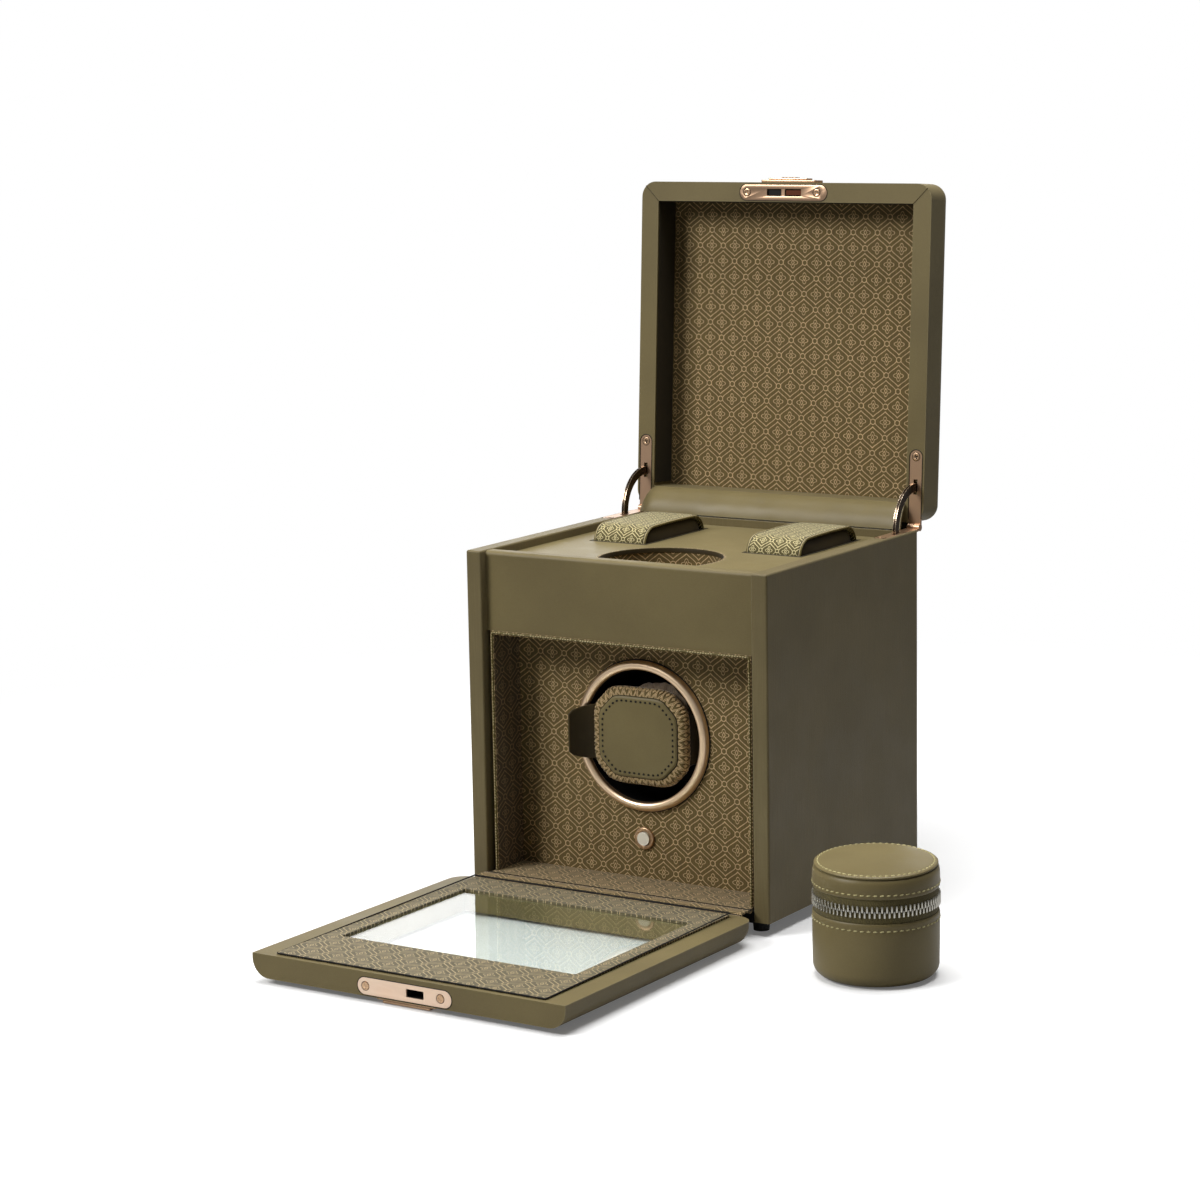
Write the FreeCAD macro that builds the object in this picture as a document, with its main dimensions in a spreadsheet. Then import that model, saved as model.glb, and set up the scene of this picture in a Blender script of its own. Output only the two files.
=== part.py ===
"""Single watch winder with a lift-up lid, a fold-down glazed door and a round travel case.

Units are millimetres. +Z is up, the front faces -Y, and the origin lies on the ground under the
middle of the casing. The lid and the door are drawn closed, then swung to where they stand open.
"""

import FreeCAD, Part
import math
import os
import re

import Sketcher

# Driving sizes: name, value, meaning
SIZES = (
    ("casing_width", 200, "casing, door and lid, over the leather"),
    ("casing_depth", 182.2, "side panels, front to rear"),
    ("wall_height", 197.3, "side panels"),
    ("side_wall", 10.2, "side panel"),
    ("rear_wall", 7.1, "rear panel"),
    ("leather_round", 1.2, "leather turned over an edge"),
    ("foot_height", 5.6, "rubber foot"),
    ("foot_radius", 5, "rubber foot at its top"),
    ("foot_taper", 0.5, "rubber foot, narrower at the ground"),
    ("foot_inset", 12, "foot centre from the casing's outer faces"),
    ("plinth_band", 1.7, "recessed band under the casing"),
    ("plinth_inset", 3.5, "band from the casing's outer faces"),
    ("base_board", 6.2, "board above the band"),
    ("floor_lining", 0.8, "fabric on the recess floor"),
    ("floor_nose", 0.2, "floor fabric past the front of the base board"),
    ("recess_depth", 31.1, "casing front to the winder panel"),
    ("lining_setback", 4.5, "casing front to the side linings"),
    ("lining_gap", 2.6, "side panel to side lining"),
    ("lining_board", 2.2, "side and ceiling lining"),
    ("header_drop", 0.4, "header and rear panel under the side panels' tops"),
    ("header_margin", 15.9, "drum's hole in the winder panel to the header"),
    ("header_setback", 5.1, "casing front to the header"),
    ("header_board", 7.5, "header"),
    ("header_round", 2.5, "header's top front edge"),
    ("ceiling_board", 3.8, "board between the recess and the tray"),
    ("tray_drop", 5, "tray under the side panels' tops"),
    ("tray_board", 4, "tray"),
    ("well_radius", 36.5, "round well, inside"),
    ("well_wall", 1.2, "round well"),
    ("well_setback", 40.5, "header to the middle of the round well"),
    ("cuff_wall_gap", 19.3, "storage cuff to the side panel"),
    ("cuff_width", 36, "storage cuff"),
    ("cuff_depth", 70, "storage cuff"),
    ("cuff_rear_gap", 14, "storage cuff to the rear panel"),
    ("cuff_rise", 9.9, "storage cuff above the tray"),
    ("cuff_round", 11, "storage cuff, front and rear top edges"),
    ("cuff_piping", 1, "storage cuff, side edges"),
    ("cuff_clearance", 0.5, "storage cuff in its well"),
    ("cuff_well_wall", 1, "storage cuff's well"),
    ("panel_board", 5, "winder panel"),
    ("drum_height", 91.4, "drum axis above the base board's underside"),
    ("drum_radius", 42, "drum, outside"),
    ("drum_wall", 1.8, "drum"),
    ("drum_floor", 2.5, "drum's rear wall"),
    ("drum_setback", 0.6, "panel face to the drum's rim"),
    ("drum_gap", 1, "drum to the hole in the winder panel"),
    ("hub_radius", 7, "drum and gear hubs"),
    ("hub_boss", 4.5, "drum hub inside the drum"),
    ("shaft_radius", 3, "drum shaft"),
    ("shaft_inset", 2, "shaft end inside the drum hub"),
    ("shaft_stub", 1, "shaft past the gear hub"),
    ("bush_clearance", 0.05, "drum shaft in its bush"),
    ("bush_wall", 3, "bearing bush"),
    ("bush_flange", 2.4, "bush flange past the bush"),
    ("bush_flange_thick", 1.2, "bush flange"),
    ("bush_tail", 1.5, "bush past the housing"),
    ("running_gap", 0.3, "turning and sliding faces"),
    ("housing_gap", 1.5, "drum to its housing"),
    ("housing_wall", 2.5, "housing"),
    ("housing_floor", 3, "housing's rear wall"),
    ("housing_room", 6, "drum's rear wall to the housing's rear wall"),
    ("flange_rim", 4, "housing flange past the housing"),
    ("flange_thick", 3, "housing flange"),
    ("bezel_outer", 44.4, "metal ring, outside radius"),
    ("bezel_inner", 40, "metal ring, inside radius"),
    ("bezel_proud", 4.2, "metal ring in front of the panel"),
    ("bezel_round", 2, "metal ring's front edges"),
    ("gear_module", 1.5, "gear and pinion"),
    ("gear_teeth", 40, "drum gear"),
    ("pinion_teeth", 12, "motor pinion"),
    ("pressure_angle", 20, "gear and pinion"),
    ("addendum", 0.75, "tooth above the pitch circle, in modules"),
    ("dedendum", 1.05, "tooth below the pitch circle, in modules"),
    ("backlash", 0.2, "taken off each tooth"),
    ("gear_gap", 3, "housing to the gear"),
    ("gear_width", 6, "gear"),
    ("gear_hub", 4, "gear hub behind the gear"),
    ("pinion_overhang", 0.5, "pinion past the gear on each face"),
    ("post_radius", 3, "bracket post"),
    ("post_spread", 26, "bracket post from the middle"),
    ("post_drop", 26.7, "bracket post below the drum axis"),
    ("bracket_stand", 14, "housing to the bracket plate"),
    ("bracket_plate", 3, "bracket plate"),
    ("bracket_margin", 6, "bracket plate past its posts"),
    ("bracket_skirt", 14, "bracket plate below the pinion"),
    ("boss_radius", 5, "gearmotor's front boss"),
    ("gearbox_radius", 12, "gearbox"),
    ("gearbox_length", 20, "gearbox"),
    ("motor_radius", 10, "motor"),
    ("motor_length", 25, "motor"),
    ("motor_tail_radius", 3, "motor's rear bearing"),
    ("motor_tail", 1.5, "motor's rear bearing"),
    ("motor_room", 12.5, "motor's rear bearing to the rear panel"),
    ("output_radius", 2, "motor's output shaft"),
    ("output_clearance", 0.06, "output shaft in the gearbox"),
    ("output_depth", 8, "output shaft inside the gearbox"),
    ("screw_head_radius", 1.8, "machine screw"),
    ("screw_head", 1.6, "machine screw head"),
    ("screw_radius", 0.9, "machine screw"),
    ("screw_length", 5.5, "machine screw under its head"),
    ("jack_x", 55, "power inlet from the middle"),
    ("jack_height", 22.7, "power inlet above the base board's underside"),
    ("jack_radius", 4, "power inlet's barrel"),
    ("jack_flange", 5.6, "power inlet's flange"),
    ("jack_flange_thick", 0.9, "power inlet's flange"),
    ("jack_bore", 2.75, "power inlet's socket"),
    ("jack_pin", 1.05, "power inlet's pin"),
    ("jack_depth", 9, "power inlet's socket"),
    ("jack_body", 11, "power inlet's body, square"),
    ("board_stand", 6.4, "rear panel to the control board"),
    ("board_thick", 1.6, "control board"),
    ("board_width", 50, "control board"),
    ("board_height", 40, "control board"),
    ("board_hole_inset", 4, "control board's corners to its screws"),
    ("standoff_radius", 2.2, "control board's standoffs"),
    ("button_height", 30.7, "button axis above the base board's underside"),
    ("button_bezel_radius", 6.5, "button's metal ring"),
    ("button_bezel_proud", 1.6, "button's metal ring in front of the panel"),
    ("button_bezel_round", 0.6, "button's metal ring, front edge"),
    ("button_barrel_radius", 5.4, "button's threaded barrel"),
    ("button_barrel_length", 10, "button's barrel behind the panel face"),
    ("button_nut_radius", 8, "button's nut"),
    ("button_nut", 2.5, "button's nut"),
    ("button_cap_radius", 4, "button cap"),
    ("button_cap_gap", 0.3, "button cap in its ring"),
    ("button_cap_proud", 0.7, "button cap in front of its ring"),
    ("button_cap_length", 5.2, "button cap"),
    ("button_travel", 1, "button"),
    ("button_stem_radius", 1.5, "stem behind the button cap"),
    ("button_spring_radius", 3.4, "button spring"),
    ("button_spring_wall", 0.7, "button spring"),
    ("switch_size", 9, "switch behind the button, square"),
    ("switch_length", 6, "switch behind the button"),
    ("pad_width", 63.5, "winding cuff's front pad"),
    ("pad_height", 57.5, "winding cuff's front pad"),
    ("pad_corner", 13, "winding cuff's pad corners"),
    ("pad_thick", 7, "winding cuff's front pad"),
    ("pad_proud", 6, "winding cuff's pad in front of the panel"),
    ("pad_round", 2, "winding cuff's pad, front edges"),
    ("core_width", 50, "winding cuff's core"),
    ("core_height", 46, "winding cuff's core"),
    ("core_gap", 9, "winding cuff's core to the drum's hub"),
    ("core_corner", 8, "winding cuff's core corners"),
    ("wing_thick", 2, "winding cuff's side wing"),
    ("wing_root_thick", 3.2, "side wing at the pad"),
    ("wing_root", 33, "side wing's height at the pad"),
    ("wing_tip", 22.5, "side wing's height at its tip"),
    ("wing_reach", 42.4, "left wing's tip from the middle"),
    ("wing_forward", 8.8, "left wing's tip in front of the pad"),
    ("wing_inset", 2.2, "right wing's tip from the drum's wall"),
    ("wing_back", 15, "right wing's tip behind the pad"),
    ("lid_gap", 0.5, "side panels to the closed lid"),
    ("lid_front", 14.2, "closed lid in front of the casing"),
    ("lid_rear", 4.4, "closed lid behind the casing"),
    ("lid_thick", 26, "lid"),
    ("lid_rim", 11.8, "lid's rim"),
    ("lid_cavity", 22.5, "hollow of the lid"),
    ("lid_corner", 9.5, "lid's corners"),
    ("lid_round", 9, "lid's outer top edges"),
    ("lid_lining", 1, "fabric board in the lid"),
    ("lid_open_angle", 93.4, "lid's opening, degrees"),
    ("pivot_back", 2.5, "lid's pivot behind the lid"),
    ("hinge_inset", 5.7, "hinge's middle from the casing's side"),
    ("hinge_width", 8, "hinge plate"),
    ("hinge_plate", 1.6, "hinge plate"),
    ("hinge_reach", 46, "hinge plate from the pivot"),
    ("hinge_screw", 42, "hinge screw from the pivot"),
    ("hinge_screw_head", 2.4, "hinge screw head radius"),
    ("barrel_radius", 2.2, "hinge barrel"),
    ("barrel_split", 0.1, "each barrel half from the middle"),
    ("pin_radius", 1, "hinge pin"),
    ("pin_clearance", 0.06, "hinge pin in the lid's half of the barrel"),
    ("arm_inner", 21.5, "quadrant arm's inner radius"),
    ("arm_outer", 26.5, "quadrant arm's outer radius"),
    ("arm_thick", 1.8, "quadrant arm"),
    ("arm_low_angle", -6, "quadrant arm's lower end with the lid open, degrees"),
    ("arm_high_angle", 99, "quadrant arm's upper end with the lid open, degrees"),
    ("arm_clearance", 0.4, "quadrant arm in its slots"),
    ("mortise_angle", 56, "arm's mortise past the closed joint, degrees"),
    ("slot_margin", 2, "hinge plate's slot past the arm"),
    ("gusset_thick", 1.5, "leather roll behind the lid's hinge"),
    ("gusset_bulge", 22, "leather roll's radius"),
    ("gusset_inset", 2.8, "leather roll from the side panels"),
    ("gusset_climb", 14.4, "leather roll's seat on the open lid's rim"),
    ("door_gap", 0.4, "casing front to the closed door"),
    ("door_step", 3.7, "closed door above the casing's underside"),
    ("door_head_gap", 0.6, "closed door to the closed lid"),
    ("door_thick", 13.2, "door"),
    ("door_round", 10.5, "door's outer edges"),
    ("door_corner", 11, "door's hinge corners"),
    ("door_axis_back", 8.86, "door's inner face to the axis it folds about"),
    ("door_axis_drop", 5.61, "door's hinge edge to the axis it folds about"),
    ("window_width", 151, "door window"),
    ("window_low", 29.9, "door's hinge edge to the window"),
    ("window_height", 116.6, "door window"),
    ("window_corner", 1, "window corners"),
    ("glass_thick", 2, "door glass"),
    ("glass_lap", 3, "glass under the door's lining"),
    ("glass_clearance", 0.2, "glass in its rebate"),
    ("door_lining", 1.2, "raised fabric board in the door"),
    ("door_lining_side", 14.3, "door's side edges to its lining"),
    ("door_lining_low", 4.5, "door's hinge edge to its lining"),
    ("door_lining_high", 3.5, "door's free edge to its lining"),
    ("strip_thick", 1.2, "fabric over the door's fold"),
    ("lock_length", 60, "lock plates"),
    ("lock_width", 9.3, "lock plates"),
    ("lock_plate", 1.2, "lock plates"),
    ("lock_setback", 7.7, "door's inner face to the middle of the lock"),
    ("lock_screw_spread", 24, "lock screws from their middle"),
    ("lock_shift", -1, "middle of the lock screws"),
    ("lock_screw_head", 2.3, "lock screw head radius"),
    ("slot_height", 4.4, "lock plates' slots"),
    ("bolt_slot_low", 1.3, "bolt slot's near end"),
    ("bolt_slot_high", 13, "bolt slot's far end"),
    ("spare_slot_low", 1.4, "key slot's near end"),
    ("spare_slot_high", 11.5, "key slot's far end"),
    ("bolt_thick", 3, "lock bolt"),
    ("bolt_length", 9, "lock bolt"),
    ("bolt_gap", 0.6, "bolt in its slot"),
    ("lock_case_depth", 14, "lock case in the lid"),
    ("lock_case_width", 7, "lock case and keeper"),
    ("lock_case_margin", 2, "lock case past the bolt slot"),
    ("keeper_depth", 9, "keeper in the door"),
    ("escutcheon_left", 17.9, "lid's catch plate, left of the middle"),
    ("escutcheon_right", 20, "lid's catch plate, right of the middle"),
    ("escutcheon_height", 10, "lid's catch plate"),
    ("escutcheon_rise", 4, "lid's rim to its catch plate"),
    ("escutcheon_thick", 1.6, "lid's catch plate"),
    ("thumb_left", 13.7, "thumb slide, left of the middle"),
    ("thumb_right", 13.5, "thumb slide, right of the middle"),
    ("thumb_height", 7, "thumb slide"),
    ("thumb_thick", 1.6, "thumb slide"),
    ("thumb_gap", 0.1, "thumb slide on its plate"),
    ("pull_left", 19.2, "door's pull, left of the middle"),
    ("pull_right", 18.5, "door's pull, right of the middle"),
    ("pull_height", 11, "door's pull"),
    ("pull_edge", 1.7, "door's free edge to its pull"),
    ("pull_base", 1.2, "door's pull, base"),
    ("pull_step", 1.5, "door's pull, step"),
    ("pull_step_inset", 3.7, "door's pull, step from the base's ends"),
    ("case_x", 183.5, "travel case from the casing's middle"),
    ("case_forward", 123.3, "travel case in front of the casing's middle"),
    ("case_radius", 34, "travel case"),
    ("case_base", 35.6, "travel case under its zip"),
    ("case_wall", 2.5, "travel case"),
    ("case_floor", 4, "travel case"),
    ("case_foot_round", 7, "travel case's bottom edge"),
    ("tape_height", 6.5, "each zip tape"),
    ("tape_split", 0.2, "between the closed zip tapes"),
    ("tape_inset", 0.6, "zip tapes from the case's outside"),
    ("tape_wall", 1.6, "zip tapes"),
    ("case_band", 10.6, "travel case's lid, upright part"),
    ("case_dome", 3.2, "travel case's lid, above its upright part"),
    ("case_lid_round", 4, "travel case's lid, top edge"),
    ("case_lid_roof", 3, "travel case's lid, thickness"),
    ("cushion_radius", 25, "travel case's cushion"),
    ("cushion_height", 24, "travel case's cushion"),
    ("cushion_round", 5, "travel case's cushion"),
    ("slider_width", 5, "zip slider"),
    ("slider_height", 4.4, "zip slider"),
    ("slider_thick", 2.4, "zip slider"),
    ("slider_park_angle", 30, "zip slider from the case's hinge, degrees"),
)

# Sizes and places that follow from the driving sizes: name, formula
PLACES = (
    ("half_width", "casing_width / 2"),
    ("wall_inner", "half_width - side_wall"),
    ("front_y", "-casing_depth / 2"),
    ("rear_y", "casing_depth / 2"),
    ("rear_inner", "rear_y - rear_wall"),
    ("base_z", "foot_height + plinth_band"),
    ("board_top", "base_z + base_board"),
    ("floor_z", "board_top + floor_lining"),
    ("wall_top", "base_z + wall_height"),
    ("header_top", "wall_top - header_drop"),
    ("drum_z", "base_z + drum_height"),
    ("header_low", "drum_z + drum_radius + drum_gap + header_margin"),
    ("header_front", "front_y + header_setback"),
    ("header_rear", "header_front + header_board"),
    ("ceiling_top", "header_low + ceiling_board"),
    ("tray_top", "wall_top - tray_drop"),
    ("tray_low", "tray_top - tray_board"),
    ("lining_outer", "wall_inner - lining_gap"),
    ("lining_inner", "lining_outer - lining_board"),
    ("lining_top", "header_low - lining_board"),
    ("lining_front", "front_y + lining_setback"),
    ("panel_face", "front_y + recess_depth"),
    ("panel_rear", "panel_face + panel_board"),
    ("well_y", "header_rear + well_setback"),
    ("well_outer", "well_radius + well_wall"),
    ("cuff_spread", "wall_inner - cuff_wall_gap - cuff_width / 2"),
    ("cuff_rear", "rear_inner - cuff_rear_gap"),
    ("cuff_front", "cuff_rear - cuff_depth"),
    ("cuff_top", "tray_top + cuff_rise"),
    ("cuff_well_floor", "ceiling_top + cuff_well_wall"),
    ("cuff_low", "cuff_well_floor + running_gap"),
    ("cuff_room", "cuff_width / 2 + cuff_clearance"),
    ("cuff_well_half", "cuff_room + cuff_well_wall"),
    ("drum_inner", "drum_radius - drum_wall"),
    ("drum_front", "panel_face + drum_setback"),
    ("motor_rear", "rear_inner - motor_room - motor_tail"),
    ("gearbox_rear", "motor_rear - motor_length"),
    ("bracket_rear", "gearbox_rear - gearbox_length"),
    ("bracket_front", "bracket_rear - bracket_plate"),
    ("can_rear", "bracket_front - bracket_stand"),
    ("can_floor", "can_rear - housing_floor"),
    ("drum_rear", "can_floor - housing_room"),
    ("drum_back", "drum_rear - drum_floor"),
    ("hub_front", "drum_back - hub_boss"),
    ("can_inner", "drum_radius + housing_gap"),
    ("can_outer", "can_inner + housing_wall"),
    ("flange_rear", "panel_rear + flange_thick"),
    ("flange_radius", "can_outer + flange_rim"),
    ("flange_screw_radius", "can_outer + flange_rim / 2"),
    ("bush_bore", "shaft_radius + bush_clearance"),
    ("bush_outer", "shaft_radius + bush_wall"),
    ("bush_front", "can_floor - bush_flange_thick"),
    ("hub_rear", "bush_front - running_gap"),
    ("gear_front", "can_rear + gear_gap"),
    ("gear_rear", "gear_front + gear_width"),
    ("gear_hub_rear", "gear_rear + gear_hub"),
    ("shaft_rear", "gear_hub_rear + shaft_stub"),
    ("pinion_z", "drum_z - gear_module * (gear_teeth + pinion_teeth) / 2"),
    ("post_z", "drum_z - post_drop"),
    ("output_bore", "output_radius + output_clearance"),
    ("jack_z", "base_z + jack_height"),
    ("board_rear", "rear_inner - board_stand"),
    ("board_front", "board_rear - board_thick"),
    ("board_left", "jack_x - board_width / 2"),
    ("board_low", "jack_z - jack_body / 2 - board_hole_inset"),
    ("button_z", "base_z + button_height"),
    ("bezel_front", "panel_face - button_bezel_proud"),
    ("barrel_rear", "panel_face + button_barrel_length"),
    ("cap_front", "bezel_front - button_cap_proud"),
    ("cap_rear", "cap_front + button_cap_length"),
    ("stem_rear", "barrel_rear - button_travel - running_gap"),
    ("pad_front", "panel_face - pad_proud"),
    ("pad_rear", "pad_front + pad_thick"),
    ("core_rear", "hub_front - core_gap"),
    ("half_pad", "pad_width / 2"),
    ("rim_z", "wall_top + lid_gap"),
    ("lid_top", "rim_z + lid_thick"),
    ("lid_front_y", "front_y - lid_front"),
    ("lid_rear_y", "rear_y + lid_rear"),
    ("cavity_front", "lid_front_y + lid_rim"),
    ("cavity_rear", "lid_rear_y - lid_rim"),
    ("cavity_half", "half_width - lid_rim"),
    ("cavity_top", "rim_z + lid_cavity"),
    ("pivot_y", "lid_rear_y + pivot_back"),
    ("hinge_x", "half_width - hinge_inset"),
    ("hinge_front", "pivot_y - hinge_reach"),
    ("hinge_screw_y", "pivot_y - hinge_screw"),
    ("half_slot", "arm_thick / 2 + arm_clearance"),
    ("slot_near", "pivot_y - arm_inner + slot_margin"),
    ("slot_far", "pivot_y - arm_outer - slot_margin"),
    ("gusset_lid_y", "pivot_y - gusset_climb * cos(lid_open_angle)"),
    ("gusset_lid_z", "rim_z + gusset_climb * sin(lid_open_angle)"),
    ("door_inner", "front_y - door_gap"),
    ("door_outer", "door_inner - door_thick"),
    ("door_low", "base_z + door_step"),
    ("door_top", "rim_z - door_head_gap"),
    ("door_axis_y", "door_inner - door_axis_back"),
    ("door_axis_z", "door_low - door_axis_drop"),
    ("window_z", "door_low + window_low"),
    ("window_top", "window_z + window_height"),
    ("half_window", "window_width / 2"),
    ("glass_inner", "door_inner - glass_thick"),
    ("lining_half", "half_width - door_lining_side"),
    ("pull_outer", "door_outer - pull_base - pull_step"),
    ("pull_top", "door_top - pull_edge"),
    ("pull_low", "pull_top - pull_height"),
    ("pull_reach", "pull_low - door_axis_z"),
    ("pull_radius", "door_axis_y - pull_outer"),
    ("lock_y", "door_inner - lock_setback"),
    ("bolt_low", "bolt_slot_low + bolt_gap"),
    ("bolt_high", "bolt_slot_high - bolt_gap"),
    ("lock_plate_top", "rim_z + lock_plate"),
    ("lock_case_top", "lock_plate_top + lock_case_depth"),
    ("keeper_top", "door_top - lock_plate"),
    ("escutcheon_low", "rim_z + escutcheon_rise"),
    ("escutcheon_front", "lid_front_y - escutcheon_thick"),
    ("thumb_low", "escutcheon_low + (escutcheon_height - thumb_height) / 2"),
    ("case_y", "-case_forward"),
    ("case_inner", "case_radius - case_wall"),
    ("tape_outer", "case_radius - tape_inset"),
    ("tape_inner", "tape_outer - tape_wall"),
    ("tape_top", "case_base + tape_height"),
    ("upper_tape_low", "tape_top + tape_split"),
    ("case_lid_low", "upper_tape_low + tape_height"),
    ("case_band_top", "case_lid_low + case_band"),
    ("case_top", "case_band_top + case_dome"),
    ("case_ceiling", "case_band_top - case_lid_roof"),
    ("slider_low", "tape_top - slider_height"),
    ("slider_inner", "tape_outer + running_gap"),
)

SIDES = (("left", -1), ("right", 1))
X_AXIS = FreeCAD.Vector(1, 0, 0)
UP = FreeCAD.Vector(0, 0, 1)
NEAR = 1e-3
OVERRUN = 1
ALONG = {
    "x": FreeCAD.Rotation(FreeCAD.Vector(0, 1, 0), 90),
    "y": FreeCAD.Rotation(FreeCAD.Vector(1, 0, 0), -90),
    "z": FreeCAD.Rotation(),
}
PLANES = {"x": ("YZ_Plane", 1), "y": ("XZ_Plane", -1), "z": ("XY_Plane", 1)}

doc = FreeCAD.newDocument("WatchWinder")
sizes = doc.addObject("Spreadsheet::Sheet", "Sizes")
places = doc.addObject("Spreadsheet::Sheet", "Places")
HOMES = {row[0]: sizes.Name for row in SIZES}
HOMES.update({row[0]: places.Name for row in PLACES})
NODES = []


# Formulas and sheets


def bind(formula):
    """The formula with each name of the sheets written as FreeCAD's expressions want it."""
    return re.sub(
        r"[a-z][a-z_]*",
        lambda found: f"{HOMES[found.group()]}.{found.group()}" if found.group() in HOMES else found.group(),
        str(formula),
    )


def number(formula):
    """The formula's value, as a plain number."""
    value = places.evalExpression(bind(formula))
    return float(getattr(value, "Value", value))


def fill_sheets():
    """Write the driving sizes, and the places worked out from them, with an alias on each."""
    for row, (name, value, note) in enumerate(SIZES, 1):
        sizes.set(f"A{row}", name)
        sizes.set(f"B{row}", str(value))
        sizes.set(f"C{row}", note)
        sizes.setAlias(f"B{row}", name)
    for row, (name, formula) in enumerate(PLACES, 1):
        places.set(f"A{row}", name)
        places.setAlias(f"B{row}", name)
        places.set(f"B{row}", "=" + bind(formula))
    doc.recompute()


def spread(sign, inner, outer):
    """The span from inner to outer on the right, or its mirror image on the left."""
    return (inner, outer) if sign > 0 else (f"-({outer})", f"-({inner})")


def around(centre, half):
    """The span of a given half width about a centre."""
    return f"{centre} - ({half})", f"{centre} + ({half})"


# Part primitives and booleans


def block(name, x, y, z):
    """A box between two planes on each axis."""
    box = doc.addObject("Part::Box", name)
    for side, axis, (low, high) in zip(("Length", "Width", "Height"), "xyz", (x, y, z)):
        box.setExpression(side, bind(f"({high}) - ({low})"))
        box.setExpression(f"Placement.Base.{axis}", bind(low))
    return box


def rod(name, axis, radius, ends, centre):
    """A cylinder along an axis, between two planes, about a line through the other two coordinates."""
    cylinder = doc.addObject("Part::Cylinder", name)
    cylinder.Placement = FreeCAD.Placement(FreeCAD.Vector(), ALONG[axis])
    cylinder.setExpression("Radius", bind(radius))
    cylinder.setExpression("Height", bind(f"({ends[1]}) - ({ends[0]})"))
    cylinder.setExpression(f"Placement.Base.{axis}", bind(ends[0]))
    for other, place in zip((a for a in "xyz" if a != axis), centre):
        cylinder.setExpression(f"Placement.Base.{other}", bind(place))
    return cylinder


def cut(name, base, *tools):
    """Base less the tools."""
    result = doc.addObject("Part::Cut", name)
    result.Base = base
    result.Tool = tools[0] if len(tools) == 1 else group(name + "_tools", *tools)
    return result


def fuse(name, *pieces):
    """The pieces joined in one solid."""
    result = doc.addObject("Part::MultiFuse", name)
    result.Shapes = list(pieces)
    result.Refine = True
    return result


def common(name, base, tool):
    """What two shapes share."""
    result = doc.addObject("Part::Common", name)
    result.Base = base
    result.Tool = tool
    return result


def group(name, *pieces):
    """Several solids kept side by side as one object."""
    result = doc.addObject("Part::Compound", name)
    result.Links = list(pieces)
    return result


def stadium(name, axis, length, radius, ends, centre):
    """A full-round bar seen along Y or Z: its long side is a span along X, at one other coordinate."""
    tips = (f"({length[0]}) + ({radius})", f"({length[1]}) - ({radius})")
    wide = around(centre, radius)
    middle = block(name + "_middle", tips, *((ends, wide) if axis == "y" else (wide, ends)))
    rounds = [rod(f"{name}_tip_{i}", axis, radius, ends, (tip, centre)) for i, tip in enumerate(tips)]
    return fuse(name, middle, *rounds)


# PartDesign bodies


def rectangle(u, v):
    """Corner points of a rectangle between two spans."""
    return [(u[0], v[0]), (u[1], v[0]), (u[1], v[1]), (u[0], v[1])]


def pin_point(sketch, geometry, place, spot):
    """Bind a point of the sketch to its two formulas."""
    for kind, formula in zip(("DistanceX", "DistanceY"), spot):
        made = sketch.addConstraint(
            Sketcher.Constraint(kind, -1, 1, geometry, place, number(formula))
        )
        sketch.setExpression(f"Constraints[{made}]", bind(formula))


def draw_circle(sketch, centre, radius):
    """A circle bound to its centre and radius."""
    middle = FreeCAD.Vector(number(centre[0]), number(centre[1]), 0)
    circle = sketch.addGeometry(Part.Circle(middle, UP, number(radius)))
    pin_point(sketch, circle, 3, centre)
    made = sketch.addConstraint(Sketcher.Constraint("Radius", circle, number(radius)))
    sketch.setExpression(f"Constraints[{made}]", bind(radius))


def arc_between(start, end, radius):
    """An arc from start to end, anticlockwise, of less than half a turn."""
    chord = end - start
    middle = (start + end) / 2
    inward = FreeCAD.Vector(-chord.y, chord.x, 0).normalize()
    centre = middle + inward * math.sqrt(radius**2 - (chord.Length / 2) ** 2)
    angles = [math.atan2(p.y - centre.y, p.x - centre.x) for p in (start, end)]
    if angles[1] < angles[0]:
        angles[1] += 2 * math.pi
    return Part.ArcOfCircle(Part.Circle(centre, UP, radius), *angles)


def draw_outline(sketch, points):
    """A closed outline. A point's third formula, if any, is the radius of an arc to the next point."""
    spots = [FreeCAD.Vector(number(p[0]), number(p[1]), 0) for p in points]
    count = len(points)
    edges = []
    for i, point in enumerate(points):
        start, end = spots[i], spots[(i + 1) % count]
        if len(point) == 2:
            edges.append((sketch.addGeometry(Part.LineSegment(start, end)), 1, 2))
            continue
        radius = number(point[2])
        bowed = radius < 0
        arc = arc_between(end, start, -radius) if bowed else arc_between(start, end, radius)
        edge = sketch.addGeometry(arc)
        edges.append((edge, 2, 1) if bowed else (edge, 1, 2))
    for i, point in enumerate(points):
        edge, first, last = edges[i]
        follower, its_first, _ = edges[(i + 1) % count]
        sketch.addConstraint(Sketcher.Constraint("Coincident", edge, last, follower, its_first))
        pin_point(sketch, edge, first, point[:2])
        if len(point) == 3:
            radius = f"abs({point[2]})"
            made = sketch.addConstraint(Sketcher.Constraint("Radius", edge, number(radius)))
            sketch.setExpression(f"Constraints[{made}]", bind(radius))


def sketch_on(body, axis, loops):
    """A sketch on the body's own plane square to an axis, holding outlines and circles."""
    role = PLANES[axis][0]
    plane = next(feature for feature in body.Origin.OriginFeatures if feature.Role == role)
    sketch = body.newObject("Sketcher::SketchObject", body.Name + "_outline")
    sketch.AttachmentSupport = (plane, [""])
    sketch.MapMode = "FlatFace"
    for loop in loops:
        if isinstance(loop, list):
            draw_outline(sketch, loop)
        else:
            draw_circle(sketch, *loop)
    return sketch


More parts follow.
